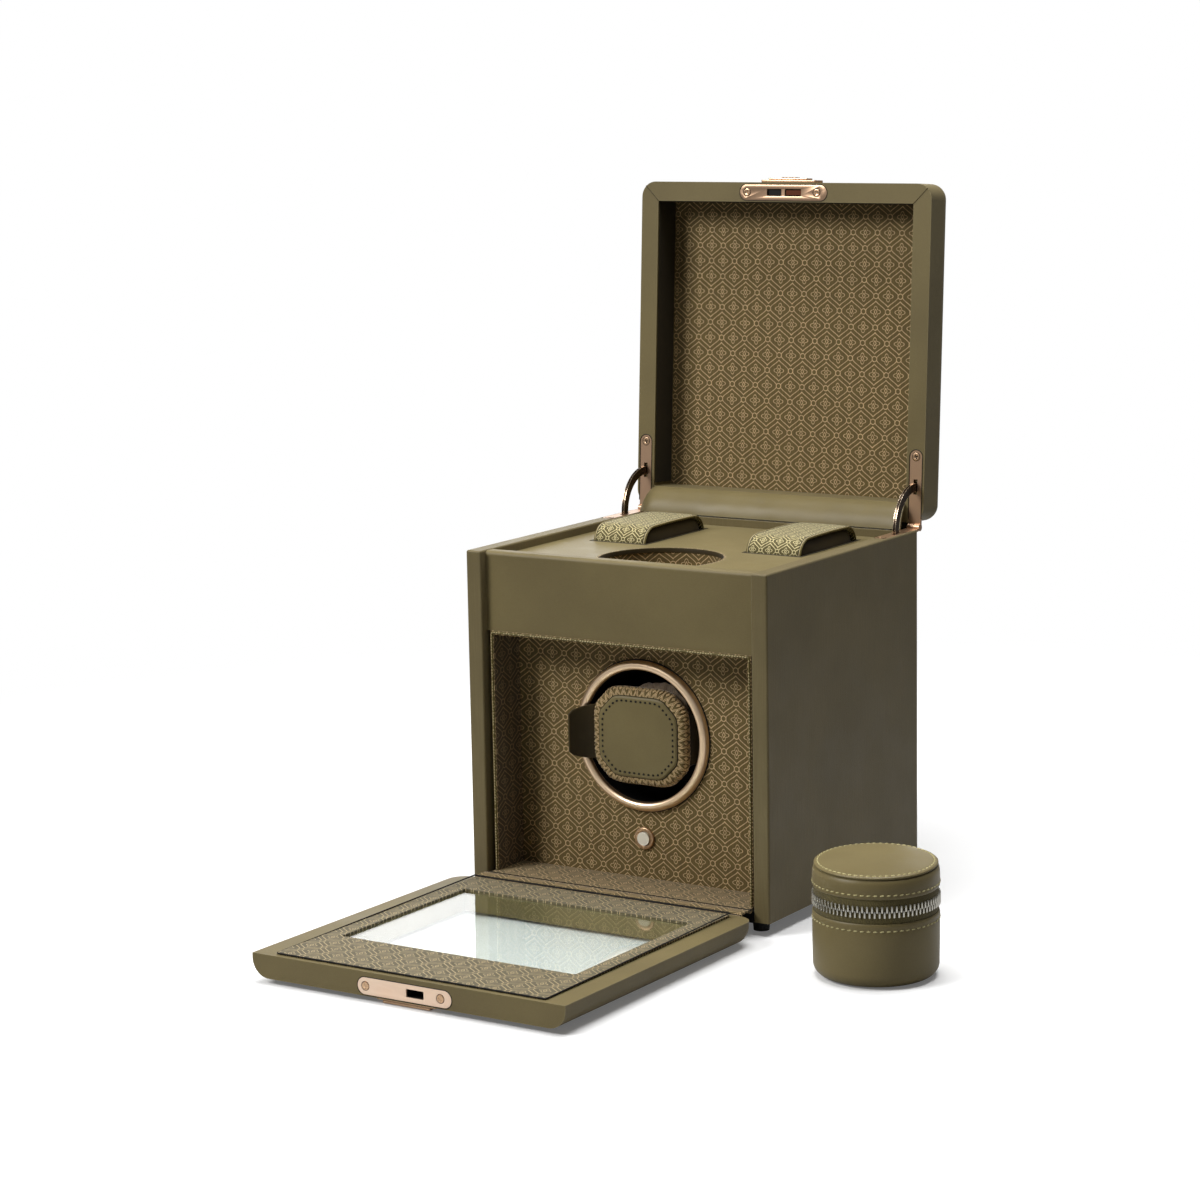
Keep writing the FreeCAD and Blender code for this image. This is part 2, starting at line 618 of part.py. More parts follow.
def padded(name, axis, ends, *loops):
    """A PartDesign body: closed loops padded along an axis between two planes."""
    body = doc.addObject("PartDesign::Body", name)
    sketch = sketch_on(body, axis, loops)
    start = ends[0] if PLANES[axis][1] > 0 else f"-({ends[1]})"
    sketch.setExpression("AttachmentOffset.Base.z", bind(start))
    pad = body.newObject("PartDesign::Pad", name + "_pad")
    pad.Profile = sketch
    pad.setExpression("Length", bind(f"({ends[1]}) - ({ends[0]})"))
    body.Tip = pad
    return body


def turned(name, axis, centre, *loops):
    """A PartDesign body: outlines revolved about a line along Y (along, radius) or Z (radius, along)."""
    body = doc.addObject("PartDesign::Body", name)
    sketch = sketch_on(body, "x" if axis == "y" else "y", loops)
    if axis == "y":
        sketch.setExpression("AttachmentOffset.Base.z", bind(centre[0]))
        sketch.setExpression("AttachmentOffset.Base.y", bind(centre[1]))
    else:
        sketch.setExpression("AttachmentOffset.Base.x", bind(centre[0]))
        sketch.setExpression("AttachmentOffset.Base.z", bind(f"-({centre[1]})"))
    revolution = body.newObject("PartDesign::Revolution", name + "_revolution")
    revolution.Profile = sketch
    revolution.ReferenceAxis = (sketch, ["H_Axis" if axis == "y" else "V_Axis"])
    revolution.Angle = 360
    body.Tip = revolution
    return body


def lying(**planes):
    """A test for edges that lie wholly in the given planes, such as z='wall_top'."""
    wanted = {axis.upper(): number(formula) for axis, formula in planes.items()}

    def test(edge):
        box = edge.BoundBox
        return all(
            abs(getattr(box, axis + end) - value) < NEAR
            for axis, value in wanted.items()
            for end in ("Min", "Max")
        )

    return test


def along(axis, edge):
    """Whether a straight edge runs along an axis."""
    box = edge.BoundBox
    lengths = {"x": box.XLength, "y": box.YLength, "z": box.ZLength}
    return all(lengths[other] < NEAR for other in "xyz" if other != axis)


def rounded(body, radius, wanted, name="round"):
    """Fillet the edges that the test picks."""
    doc.recompute()
    tip = body.Tip
    names = [f"Edge{i}" for i, edge in enumerate(tip.Shape.Edges, 1) if wanted(edge)]
    fillet = body.newObject("PartDesign::Fillet", f"{body.Name}_{name}")
    fillet.Base = (tip, names)
    fillet.setExpression("Radius", bind(radius))
    body.Tip = fillet
    return body


def node(label, piece):
    """Name a finished sub-part."""
    piece.Label = label
    NODES.append(piece)
    return piece


def swing(piece, pivot, degrees):
    """Turn a finished piece about a line along X from its closed place."""
    centre = FreeCAD.Vector(0, number(pivot[0]), number(pivot[1]))
    turn = FreeCAD.Rotation(X_AXIS, degrees)
    piece.Placement = FreeCAD.Placement(FreeCAD.Vector(), turn, centre)
    return piece


def on_lid(label, piece):
    """Name a piece of the lid and stand it open."""
    return node(label, swing(piece, ("pivot_y", "rim_z"), -number("lid_open_angle")))


def on_door(label, piece):
    """Name a piece of the door and lay it down until its pull touches the ground."""
    reach, radius = number("pull_reach"), number("pull_radius")
    lean = math.asin(number("door_axis_z") / math.hypot(reach, radius))
    turn = math.degrees(math.atan2(reach, radius) + lean)
    return node(label, swing(piece, ("door_axis_y", "door_axis_z"), turn))


def ring_sector(name, x, inner, outer, low, high):
    """A slice of a flat ring about the lid's pivot, between two angles above the forward direction."""
    upright = FreeCAD.Rotation(-FreeCAD.Vector(0, 1, 0), UP, -X_AXIS, "ZXY")
    tilt = FreeCAD.Rotation(-X_AXIS, number(low)) * upright
    slice_ = doc.addObject("Part::Cylinder", name + "_slice")
    slice_.Placement = FreeCAD.Placement(FreeCAD.Vector(), tilt)
    slice_.setExpression("Radius", bind(outer))
    slice_.setExpression("Height", bind(f"({x[1]}) - ({x[0]})"))
    slice_.setExpression("Angle", bind(f"({high}) - ({low})"))
    slice_.setExpression("Placement.Base.x", bind(x[1]))
    slice_.setExpression("Placement.Base.y", bind("pivot_y"))
    slice_.setExpression("Placement.Base.z", bind("rim_z"))
    wide = (f"{x[0]} - {OVERRUN}", f"{x[1]} + {OVERRUN}")
    return cut(name, slice_, rod(name + "_core", "x", inner, wide, ("pivot_y", "rim_z")))


def screw(name, axis, centre, seat, into, head="screw_head_radius", thick="screw_head"):
    """A machine screw whose head sits on a plane and whose shank runs the way of 'into' (+1 or -1)."""
    ends = [(seat, f"{seat} + screw_length"), (f"{seat} - ({thick})", seat)]
    if into < 0:
        ends = [(f"{seat} - screw_length", seat), (seat, f"{seat} + ({thick})")]
    shank = rod(name + "_shank", axis, "screw_radius", ends[0], centre)
    return fuse(name, shank, rod(name + "_head", axis, head, ends[1], centre))


# Screws, each of which also cuts its own hole


def casing_screws():
    """Screws of the housing flange, the bracket, the control board and the casing's hinge plates."""
    screws = []
    for i in range(3):
        turn = 90 + 120 * i
        place = (f"flange_screw_radius * cos({turn})", f"drum_z + flange_screw_radius * sin({turn})")
        screws.append(screw(f"flange_screw_{i}", "y", place, "flange_rear", -1))
    for side, sign in SIDES:
        place = (f"{sign} * post_spread", "post_z")
        screws.append(screw(f"bracket_screw_{side}", "y", place, "bracket_rear", -1))
        seat = "wall_top - screw_head"
        place = (f"{sign} * hinge_x", "hinge_screw_y")
        screws.append(screw(f"hinge_screw_{side}", "z", place, seat, -1, "hinge_screw_head"))
    for i, place in enumerate(board_corners()):
        screws.append(screw(f"board_screw_{i}", "y", place, "board_front", 1))
    return group("casing_screw_set", *screws)


def board_corners():
    """The control board's four screw places."""
    across = ("board_left + board_hole_inset", "board_left + board_width - board_hole_inset")
    upward = ("board_low + board_hole_inset", "board_low + board_height - board_hole_inset")
    return [(x, z) for x in across for z in upward]


def closed_lid_screws():
    """Screws of the lid's lock plate and hinge plates, with the lid closed."""
    screws = []
    for side, sign in SIDES:
        place = (f"lock_shift + {sign} * lock_screw_spread", "lock_y")
        seat = "rim_z + lock_plate"
        screws.append(screw(f"lid_lock_screw_{side}", "z", place, seat, 1, "lock_screw_head", "lock_plate"))
        place = (f"{sign} * hinge_x", "hinge_screw_y")
        seat = "rim_z + hinge_plate"
        name = f"lid_hinge_screw_{side}"
        screws.append(screw(name, "z", place, seat, 1, "hinge_screw_head", "hinge_plate"))
    return group("lid_screw_set", *screws)


def closed_door_screws():
    """Screws of the door's lock plate, with the door closed."""
    screws = []
    for side, sign in SIDES:
        place = (f"lock_shift + {sign} * lock_screw_spread", "lock_y")
        screws.append(
            screw(f"door_lock_screw_{side}", "z", place, "keeper_top", -1, "lock_screw_head", "lock_plate")
        )
    return group("door_screw_set", *screws)


# Casing


def side_panels(screws):
    """Leather-covered side panels, slotted for the hinge arms."""
    for side, sign in SIDES:
        label = f"{side}_side_panel"
        body = padded(label + "_body", "x", spread(sign, "wall_inner", "half_width"),
                      rectangle(("front_y", "rear_y"), ("base_z", "wall_top")))
        foot = lying(z="base_z")
        rounded(body, "leather_round", lambda edge: not foot(edge))
        middle = f"{sign} * hinge_x"
        recess = block(label + "_recess", around(middle, "hinge_width / 2"),
                       ("hinge_front", f"rear_y + {OVERRUN}"),
                       ("wall_top - hinge_plate", f"wall_top + {OVERRUN}"))
        mortise = ring_sector(label + "_mortise", around(middle, "half_slot"), "arm_inner - arm_clearance",
                              "arm_outer + arm_clearance", "-mortise_angle", "0")
        node(label, cut(label, body, recess, mortise, screws))


def rear_panel():
    """Board between the side panels at the rear, bored for the power inlet."""
    board = block("rear_board", ("-wall_inner", "wall_inner"), ("rear_inner", "rear_y"),
                  ("base_z", "header_top"))
    hole = rod("rear_hole", "y", "jack_radius", ("rear_inner", "rear_y"), ("jack_x", "jack_z"))
    node("rear_panel", cut("rear_panel", board, hole))


def header_panel():
    """Plain leather board over the recess, its top front edge rolled."""
    body = padded("header_panel", "x", ("-wall_inner", "wall_inner"),
                  rectangle(("header_front", "header_rear"), ("header_low", "header_top")))
    node("header_panel", rounded(body, "header_round", lying(y="header_front", z="header_top")))


def base_board():
    """Board under everything, with the recessed band below it."""
    board = block("base_main", ("-wall_inner", "wall_inner"), ("front_y", "rear_inner"),
                  ("base_z", "board_top"))
    band = block("base_band", ("-half_width + plinth_inset", "half_width - plinth_inset"),
                 ("front_y + plinth_inset", "rear_y - plinth_inset"), ("foot_height", "base_z"))
    node("base_board", fuse("base_board", board, band))


def feet():
    """Four tapered rubber feet."""
    pieces = []
    for side, sign in SIDES:
        for end, direction in (("front", -1), ("rear", 1)):
            foot = doc.addObject("Part::Cone", f"{side}_{end}_foot")
            foot.setExpression("Radius1", bind("foot_radius - foot_taper"))
            foot.setExpression("Radius2", bind("foot_radius"))
            foot.setExpression("Height", bind("foot_height"))
            foot.setExpression("Placement.Base.x", bind(f"{sign} * (half_width - foot_inset)"))
            foot.setExpression("Placement.Base.y", bind(f"{direction} * (rear_y - foot_inset)"))
            pieces.append(foot)
    node("feet", group("feet", *pieces))


def recess_lining():
    """Fabric-covered liner of the recess: floor, two sides and a ceiling."""
    floor = block("lining_floor", ("-lining_outer", "lining_outer"), ("front_y - floor_nose", "panel_face"),
                  ("board_top", "floor_z"))
    ceiling = block("lining_ceiling", ("-lining_outer", "lining_outer"), ("lining_front", "panel_face"),
                    ("lining_top", "header_low"))
    sides = [
        block(f"lining_{side}", spread(sign, "lining_inner", "lining_outer"), ("lining_front", "panel_face"),
              ("floor_z", "lining_top"))
        for side, sign in SIDES
    ]
    node("recess_lining", fuse("recess_lining", floor, ceiling, *sides))


def ceiling_board():
    """Board between the recess and the tray."""
    node("ceiling_board", block("ceiling_board", ("-wall_inner", "wall_inner"), ("header_rear", "rear_inner"),
                                ("header_low", "ceiling_top")))


def winder_panel(screws):
    """Fabric-covered panel behind the recess, holed for the drum and the button."""
    body = padded("winder_panel_body", "y", ("panel_face", "panel_rear"),
                  rectangle(("-wall_inner", "wall_inner"), ("board_top", "header_low")),
                  (("0", "drum_z"), "drum_radius + drum_gap"),
                  (("0", "button_z"), "button_barrel_radius"))
    node("winder_panel", cut("winder_panel", body, screws))


def bezel_ring():
    """Metal ring around the drum's mouth."""
    body = turned("bezel_ring", "y", ("0", "drum_z"),
                  rectangle(("panel_face - bezel_proud", "panel_face"), ("bezel_inner", "bezel_outer")))
    front = lying(y="panel_face - bezel_proud")
    node("bezel_ring", rounded(body, "bezel_round", front))


def tray_board():
    """Tray over the winder, with a round opening and two rectangular ones."""
    openings = [
        rectangle(around(f"{sign} * cuff_spread", "cuff_well_half"),
                  ("cuff_front - cuff_clearance - cuff_well_wall",
                   "cuff_rear + cuff_clearance + cuff_well_wall"))
        for _, sign in SIDES
    ]
    node("tray_board", padded("tray_board", "z", ("tray_low", "tray_top"),
                              rectangle(("-wall_inner", "wall_inner"), ("header_rear", "rear_inner")),
                              (("0", "well_y"), "well_outer"), *openings))


def tray_well():
    """Round fabric-lined well for the travel case."""
    profile = [("0", "ceiling_top"), ("well_outer", "ceiling_top"), ("well_outer", "tray_top"),
               ("well_radius", "tray_top"), ("well_radius", "ceiling_top + well_wall"),
               ("0", "ceiling_top + well_wall")]
    node("tray_well", turned("tray_well", "z", ("0", "well_y"), profile))


def cuff_wells():
    """Two rectangular wells, one for each storage cuff."""
    wells = []
    for side, sign in SIDES:
        middle = f"{sign} * cuff_spread"
        shell = block(f"{side}_well_shell", around(middle, "cuff_well_half"),
                      ("cuff_front - cuff_clearance - cuff_well_wall",
                       "cuff_rear + cuff_clearance + cuff_well_wall"), ("ceiling_top", "tray_top"))
        room = block(f"{side}_well_room", around(middle, "cuff_room"),
                     ("cuff_front - cuff_clearance", "cuff_rear + cuff_clearance"),
                     ("cuff_well_floor", f"tray_top + {OVERRUN}"))
        wells.append(cut(f"{side}_well", shell, room))
    node("cuff_wells", group("cuff_wells", *wells))


def storage_cuffs():
    """Two padded watch cuffs with rounded tops, standing in their wells."""
    for side, sign in SIDES:
        label = f"{side}_storage_cuff"
        body = padded(label, "x", around(f"{sign} * cuff_spread", "cuff_width / 2"),
                      rectangle(("cuff_front", "cuff_rear"), ("cuff_low", "cuff_top")))
        front, rear = lying(y="cuff_front", z="cuff_top"), lying(y="cuff_rear", z="cuff_top")
        rounded(body, "cuff_round", lambda edge: front(edge) or rear(edge))
        base = lying(z="cuff_low")
        faces = [lying(x=f"{sign} * cuff_spread + {way} * cuff_width / 2") for way in (-1, 1)]
        rounded(body, "cuff_piping",
                lambda edge: any(face(edge) for face in faces) and not base(edge), "piping")
        node(label, body)


# Winder module


def drum():
    """Turning drum: an open cup on a hub, its shaft and its gear."""
    profile = [("drum_front", "drum_inner"), ("drum_back", "drum_inner"), ("drum_back", "hub_radius"),
               ("hub_front", "hub_radius"), ("hub_front", "shaft_radius"), ("hub_rear", "shaft_radius"),
               ("hub_rear", "hub_radius"), ("drum_rear", "hub_radius"), ("drum_rear", "drum_radius"),
               ("drum_front", "drum_radius")]
    node("drum_cup", turned("drum_cup", "y", ("0", "drum_z"), profile))
    node("drum_shaft", rod("drum_shaft", "y", "shaft_radius", ("hub_front + shaft_inset", "shaft_rear"),
                           ("0", "drum_z")))


def gear_outline(teeth, phase):
    """A spur gear's outline in the XZ plane about the origin, one tooth centred on the phase angle."""
    module, pressure = number("gear_module"), math.radians(number("pressure_angle"))
    pitch = module * teeth / 2
    base = pitch * math.cos(pressure)
    root, tip = pitch - module * number("dedendum"), pitch + module * number("addendum")
    half = (math.pi * module / 2 - number("backlash")) / 2 / pitch + math.tan(pressure) - pressure

    def flank(radius):
        """Half the tooth's angle at a radius: an involute outside the base circle, straight inside it."""
        if radius <= base:
            return half
        angle = math.acos(base / radius)
        return half - (math.tan(angle) - angle)

    radii = [root, max(root, base), (max(root, base) + tip) / 2, tip]
    if root >= base:
        radii = [root, (root + tip) / 2, tip]
    points = []
    for tooth in range(teeth):
        middle = math.radians(phase) + 2 * math.pi * tooth / teeth
        for radius, side in [(r, -1) for r in radii] + [(r, 1) for r in reversed(radii)]:
            turn = middle + side * flank(radius)
            points.append(FreeCAD.Vector(radius * math.cos(turn), 0, radius * math.sin(turn)))
    return Part.makePolygon(points + points[:1])


def gear(name, teeth, phase, front, rear, height):
    """A spur gear between two planes, about a line along Y at a height."""
    face = Part.Face(gear_outline(teeth, phase))
    wheel = doc.addObject("Part::Feature", name)
    wheel.Shape = face.extrude(FreeCAD.Vector(0, number(rear) - number(front), 0))
    wheel.Placement = FreeCAD.Placement(FreeCAD.Vector(0, number(front), number(height)), FreeCAD.Rotation())
    return wheel


def gears():
    """The drum's gear on its hub and the motor's pinion with the output shaft; a tooth meets a gap."""
    count, few = round(number("gear_teeth")), round(number("pinion_teeth"))
    wheel = gear("drive_wheel", count, -90, "gear_front", "gear_rear", "drum_z")
    hub = rod("drive_hub", "y", "hub_radius", ("gear_rear", "gear_hub_rear"), ("0", "drum_z"))
    bore = rod("drive_bore", "y", "shaft_radius", ("gear_front", "gear_hub_rear"), ("0", "drum_z"))
    node("drive_gear", cut("drive_gear", fuse("drive_blank", wheel, hub), bore))
    small = gear("pinion_wheel", few, 90 + 180 / few, "gear_front - pinion_overhang",
                 "gear_rear + pinion_overhang", "pinion_z")
    shaft = rod("output_shaft", "y", "output_radius",
                ("gear_rear + pinion_overhang", "bracket_rear + output_depth - running_gap"),
                ("0", "pinion_z"))
    node("motor_pinion", fuse("motor_pinion", small, shaft))


def module_housing(screws):
    """Can around the drum, with a flange behind the winder panel."""
    profile = [("panel_rear", "can_inner"), ("can_floor", "can_inner"), ("can_floor", "bush_outer"),
               ("can_rear", "bush_outer"), ("can_rear", "can_outer"), ("flange_rear", "can_outer"),
               ("flange_rear", "flange_radius"), ("panel_rear", "flange_radius")]
    body = turned("module_housing_body", "y", ("0", "drum_z"), profile)
    node("module_housing", cut("module_housing", body, screws))


def bearing_bush():
    """Flanged bush that carries the drum's shaft."""
    profile = [("bush_front", "bush_bore"), ("can_rear + bush_tail", "bush_bore"),
               ("can_rear + bush_tail", "bush_outer"), ("can_floor", "bush_outer"),
               ("can_floor", "bush_outer + bush_flange"), ("bush_front", "bush_outer + bush_flange")]
    node("bearing_bush", turned("bearing_bush", "y", ("0", "drum_z"), profile))


def motor_bracket(screws):
    """Plate on two posts behind the gear, with a seat for the gearmotor's boss."""
    plate = padded("bracket_plate_body", "y", ("bracket_front", "bracket_rear"),
                   rectangle(("-(post_spread + bracket_margin)", "post_spread + bracket_margin"),
                             ("pinion_z - bracket_skirt", "post_z + bracket_margin")),
                   (("0", "pinion_z"), "boss_radius"))
    rounded(plate, "post_radius", lambda edge: along("y", edge))
    posts = [
        rod(f"bracket_post_{side}", "y", "post_radius", ("can_rear", "bracket_front"),
            (f"{sign} * post_spread", "post_z"))
        for side, sign in SIDES
    ]
    node("motor_bracket", cut("motor_bracket", fuse("bracket_blank", plate, *posts), screws))


def gearmotor():
    """Gearbox and motor, bored for the output shaft."""
    profile = [("bracket_front", "output_bore"), ("bracket_rear + output_depth", "output_bore"),
               ("bracket_rear + output_depth", "0"), ("motor_rear + motor_tail", "0"),
               ("motor_rear + motor_tail", "motor_tail_radius"), ("motor_rear", "motor_tail_radius"),
               ("motor_rear", "motor_radius"), ("gearbox_rear", "motor_radius"),
               ("gearbox_rear", "gearbox_radius"), ("bracket_rear", "gearbox_radius"),
               ("bracket_rear", "boss_radius"), ("bracket_front", "boss_radius")]
    node("gearmotor", turned("gearmotor", "y", ("0", "pinion_z"), profile))


def control_board(screws):
    """Circuit board on four standoffs of the rear panel, with its chip and a capacitor."""
    board = block("board_sheet", ("board_left", "board_left + board_width"), ("board_front", "board_rear"),
                  ("board_low", "board_low + board_height"))
    standoffs = [
        rod(f"standoff_{i}", "y", "standoff_radius", ("board_rear", "rear_inner"), place)
        for i, place in enumerate(board_corners())
    ]
    chip = block("board_chip", around("jack_x", "jack_body / 2"),
                 ("board_front - board_thick", "board_front"),
                 ("jack_z + jack_body", "jack_z + 2 * jack_body"))
    blank = fuse("board_blank", board, chip, *standoffs)
    node("control_board", cut("control_board", blank, screws))


def dc_jack():
    """Power inlet: body on the board, barrel through the rear panel, flange outside."""
    half = "jack_body / 2"
    body = block("jack_block", around("jack_x", half), ("board_rear", "rear_inner"), around("jack_z", half))
    barrel = rod("jack_barrel", "y", "jack_radius", ("rear_inner", "rear_y"), ("jack_x", "jack_z"))
    face = "rear_y + jack_flange_thick"
    flange = rod("jack_flange", "y", "jack_flange", ("rear_y", face), ("jack_x", "jack_z"))
    socket = rod("jack_socket", "y", "jack_bore", (f"{face} - jack_depth", face), ("jack_x", "jack_z"))
    pin = rod("jack_pin", "y", "jack_pin", (f"{face} - jack_depth", "rear_y"), ("jack_x", "jack_z"))
    shell = cut("jack_shell", fuse("jack_blank", body, barrel, flange), socket)
    node("dc_jack", fuse("dc_jack", shell, pin))


def button():
    """Start button: metal ring and barrel, translucent cap, spring and switch."""
    bore, seat = "button_cap_radius + button_cap_gap", "barrel_rear - button_nut"
    profile = [("bezel_front", bore), ("barrel_rear", bore), ("barrel_rear", "button_nut_radius"),
               (seat, "button_nut_radius"), (seat, "button_barrel_radius"),
               ("panel_face", "button_barrel_radius"), ("panel_face", "button_bezel_radius"),
               ("bezel_front", "button_bezel_radius")]
    body = turned("button_bezel", "y", ("0", "button_z"), profile)
    node("button_bezel", rounded(body, "button_bezel_round", lying(y="bezel_front")))
    profile = [("cap_front", "0"), ("stem_rear", "0"), ("stem_rear", "button_stem_radius"),
               ("cap_rear", "button_stem_radius"), ("cap_rear", "button_cap_radius"),
               ("cap_front", "button_cap_radius")]
    node("button_cap", turned("button_cap", "y", ("0", "button_z"), profile))
    profile = rectangle(("cap_rear + running_gap", "barrel_rear - running_gap"),
                        ("button_spring_radius - button_spring_wall", "button_spring_radius"))
    node("button_spring", turned("button_spring", "y", ("0", "button_z"), profile))
    half = "switch_size / 2"
    node("button_switch", block("button_switch", around("0", half),
                                ("barrel_rear", "barrel_rear + switch_length"), around("button_z", half)))


def winding_cuff():
    """Watch cuff in the drum: core, front pad and the two side wings that hold it."""
    core = padded("cuff_core", "y", ("pad_rear", "core_rear"),
                  rectangle(("-core_width / 2", "core_width / 2"), around("drum_z", "core_height / 2")))
    node("cuff_core", rounded(core, "core_corner", lambda edge: along("y", edge)))
    wide, tall = "pad_width / 2", "pad_height / 2"
    corners = [(f"{wide} - pad_corner", f"drum_z - {tall}"), (wide, f"drum_z - {tall} + pad_corner"),
               (wide, f"drum_z + {tall} - pad_corner"), (f"{wide} - pad_corner", f"drum_z + {tall}"),
               (f"-{wide} + pad_corner", f"drum_z + {tall}"), (f"-{wide}", f"drum_z + {tall} - pad_corner"),
               (f"-{wide}", f"drum_z - {tall} + pad_corner"), (f"-{wide} + pad_corner", f"drum_z - {tall}")]
    pad = padded("cuff_pad", "y", ("pad_front", "pad_rear"), corners)
    node("cuff_pad", rounded(pad, "pad_round", lying(y="pad_front")))
    node("cuff_wings", group("cuff_wings", left_wing(), right_wing()))


def left_wing():
    """Wing that stands out of the drum in front of the ring, narrower at its tip."""
    tip, root = "-wing_reach", "-half_pad"
    plan = padded("left_wing_plan", "z", around("drum_z", "wing_root / 2"),
                  [(root, "pad_rear - wing_thick"), (root, "pad_rear - wing_thick - wing_root_thick"),
                   (f"{tip} + wing_thick / 2", "pad_front - wing_forward"),
                   (f"{tip} - wing_thick / 2", "pad_front - wing_forward + wing_thick / 2")])
    return common("left_wing", plan, wing_taper("left_wing_front", root, f"{tip} - wing_thick"))


def right_wing():
    """Wing that bends back inside the drum and presses on its wall."""
    root, tip = "core_width / 2", "drum_inner - wing_inset"
    plan = padded("right_wing_plan", "z", around("drum_z", "wing_root / 2"),
                  [(root, "pad_rear"), (f"{root} + wing_thick", "pad_rear"),
                   (tip, "pad_rear + wing_back - wing_thick"), (tip, "pad_rear + wing_back"),
                   (f"{tip} - wing_thick", "pad_rear + wing_back - wing_thick / 2"),
                   (root, "pad_rear + wing_root_thick")])
    return common("right_wing", plan, wing_taper("right_wing_front", root, tip))


def wing_taper(name, root, tip):
    """Wedge that gives a wing its tapered height, from its root to its tip along X."""
    return padded(name, "y", ("pad_front - wing_forward", "core_rear"),
                  [(root, "drum_z - wing_root / 2"), (tip, "drum_z - wing_tip / 2"),
                   (tip, "drum_z + wing_tip / 2"), (root, "drum_z + wing_root / 2")])


# Lid and its hinges


def lid_shell(screws):
    """Hollow lid with rounded corners, slotted and recessed for its fittings."""
    label = "lid_shell"
    outer = padded("lid_outer", "z", ("rim_z", "lid_top"),
                   rectangle(("-half_width", "half_width"), ("lid_front_y", "lid_rear_y")))
    rounded(outer, "lid_corner", lambda edge: along("z", edge), "corners")
    rounded(outer, "lid_round", lying(z="lid_top"), "top")
    tools = [block("lid_hollow", ("-cavity_half", "cavity_half"), ("cavity_front", "cavity_rear"),
                   (f"rim_z - {OVERRUN}", "cavity_top"))]
    for side, sign in SIDES:
        middle = f"{sign} * hinge_x"
        tools.append(hinge_leaf(f"lid_recess_{side}", middle, ("rim_z", "rim_z + hinge_plate"), "lid_rear_y"))
        tools.append(ring_sector(f"lid_mortise_{side}", around(middle, "half_slot"),
                                 "arm_inner - arm_clearance", "arm_outer + arm_clearance",
                                 "0", "mortise_angle"))
    tools.append(stadium("lid_lock_recess", "z", ("-lock_length / 2", "lock_length / 2"), "lock_width / 2",
                         ("rim_z", "lock_plate_top"), "lock_y"))
    tools.append(block("lid_lock_pocket", lock_case_span(), around("lock_y", "lock_case_width / 2"),
                       ("lock_plate_top", "lock_case_top")))
    on_lid(label, cut(label, outer, *tools, screws))


def lock_case_span():
    """Where the lock case lies along X: about the bolt's slot, on both plates."""
    return "bolt_slot_low - lock_case_margin", "bolt_slot_high + lock_case_margin"


def hinge_leaf(name, middle, ends, rear):
    """A hinge leaf: a strip along Y with a full-round front end, up to a rear plane."""
    half = "hinge_width / 2"
    strip = block(name + "_strip", around(middle, half), (f"hinge_front + {half}", rear), ends)
    tip = rod(name + "_tip", "z", half, ends, (middle, f"hinge_front + {half}"))
    return fuse(name, strip, tip)


def barrel_half(name, sign, inner, outer):
    """One half of a hinge barrel."""
    ends = spread(sign, inner, outer)
    return rod(name, "x", "barrel_radius", ends, ("pivot_y", "rim_z"))


def hinge_plates(screws_below, screws_above):
    """Slotted leaves on the casing and on the lid, each with its half of the barrel."""
    leaves = {"body": [], "lid": []}
    for side, sign in SIDES:
        middle = f"{sign} * hinge_x"
        slot_ends = ("slot_far", "slot_near")
        for kind, low, high, ends, bore in (
            ("body", "wall_top - hinge_plate", "wall_top",
             ("hinge_x - hinge_width / 2", "hinge_x - barrel_split"), "pin_radius"),
            ("lid", "rim_z", "rim_z + hinge_plate", ("hinge_x + barrel_split", "hinge_x + hinge_width / 2"),
             "pin_radius + pin_clearance"),
        ):
            name = f"{kind}_leaf_{side}"
            leaf = hinge_leaf(name + "_plate", middle, (low, high), "pivot_y")
            clear = block(name + "_clear", around(middle, f"hinge_width / 2 + {OVERRUN}"),
                          ("pivot_y - barrel_radius - running_gap", f"pivot_y + {OVERRUN}"),
                          (f"{low} - {OVERRUN}", f"{high} + {OVERRUN}"))
            reach = block(name + "_reach", spread(sign, *ends),
                          ("pivot_y - barrel_radius - running_gap", "pivot_y"), (low, high))
            barrel = barrel_half(name + "_barrel", sign, *ends)
            slot = block(name + "_slot", around(middle, "half_slot"), slot_ends,
                         (f"{low} - {OVERRUN}", f"{high} + {OVERRUN}"))
            hole = rod(name + "_hole", "x", bore,
                       spread(sign, "hinge_x - hinge_width", "hinge_x + hinge_width"), ("pivot_y", "rim_z"))
            solid = fuse(name + "_blank", cut(name + "_trimmed", leaf, clear), reach, barrel)
            screws = screws_below if kind == "body" else screws_above
            leaves[kind].append(cut(name, solid, slot, hole, screws))
    node("body_hinge_plates", group("body_hinge_plates", *leaves["body"]))
    on_lid("lid_hinge_plates", group("lid_hinge_plates", *leaves["lid"]))


def hinge_pins():
    """One pin in each hinge barrel."""
    pins = [
        rod(f"hinge_pin_{side}", "x", "pin_radius",
            spread(sign, "hinge_x - hinge_width / 2", "hinge_x + hinge_width / 2"), ("pivot_y", "rim_z"))
        for side, sign in SIDES
    ]
    node("hinge_pins", group("hinge_pins", *pins))


def stay_arms():
    """Quadrant arms that slide in the casing and the lid and hold the lid open."""
    arms = [
        ring_sector(f"stay_arm_{side}", around(f"{sign} * hinge_x", "arm_thick / 2"),
                    "arm_inner", "arm_outer", "arm_low_angle", "arm_high_angle")
        for side, sign in SIDES
    ]
    node("stay_arms", group("stay_arms", *arms))


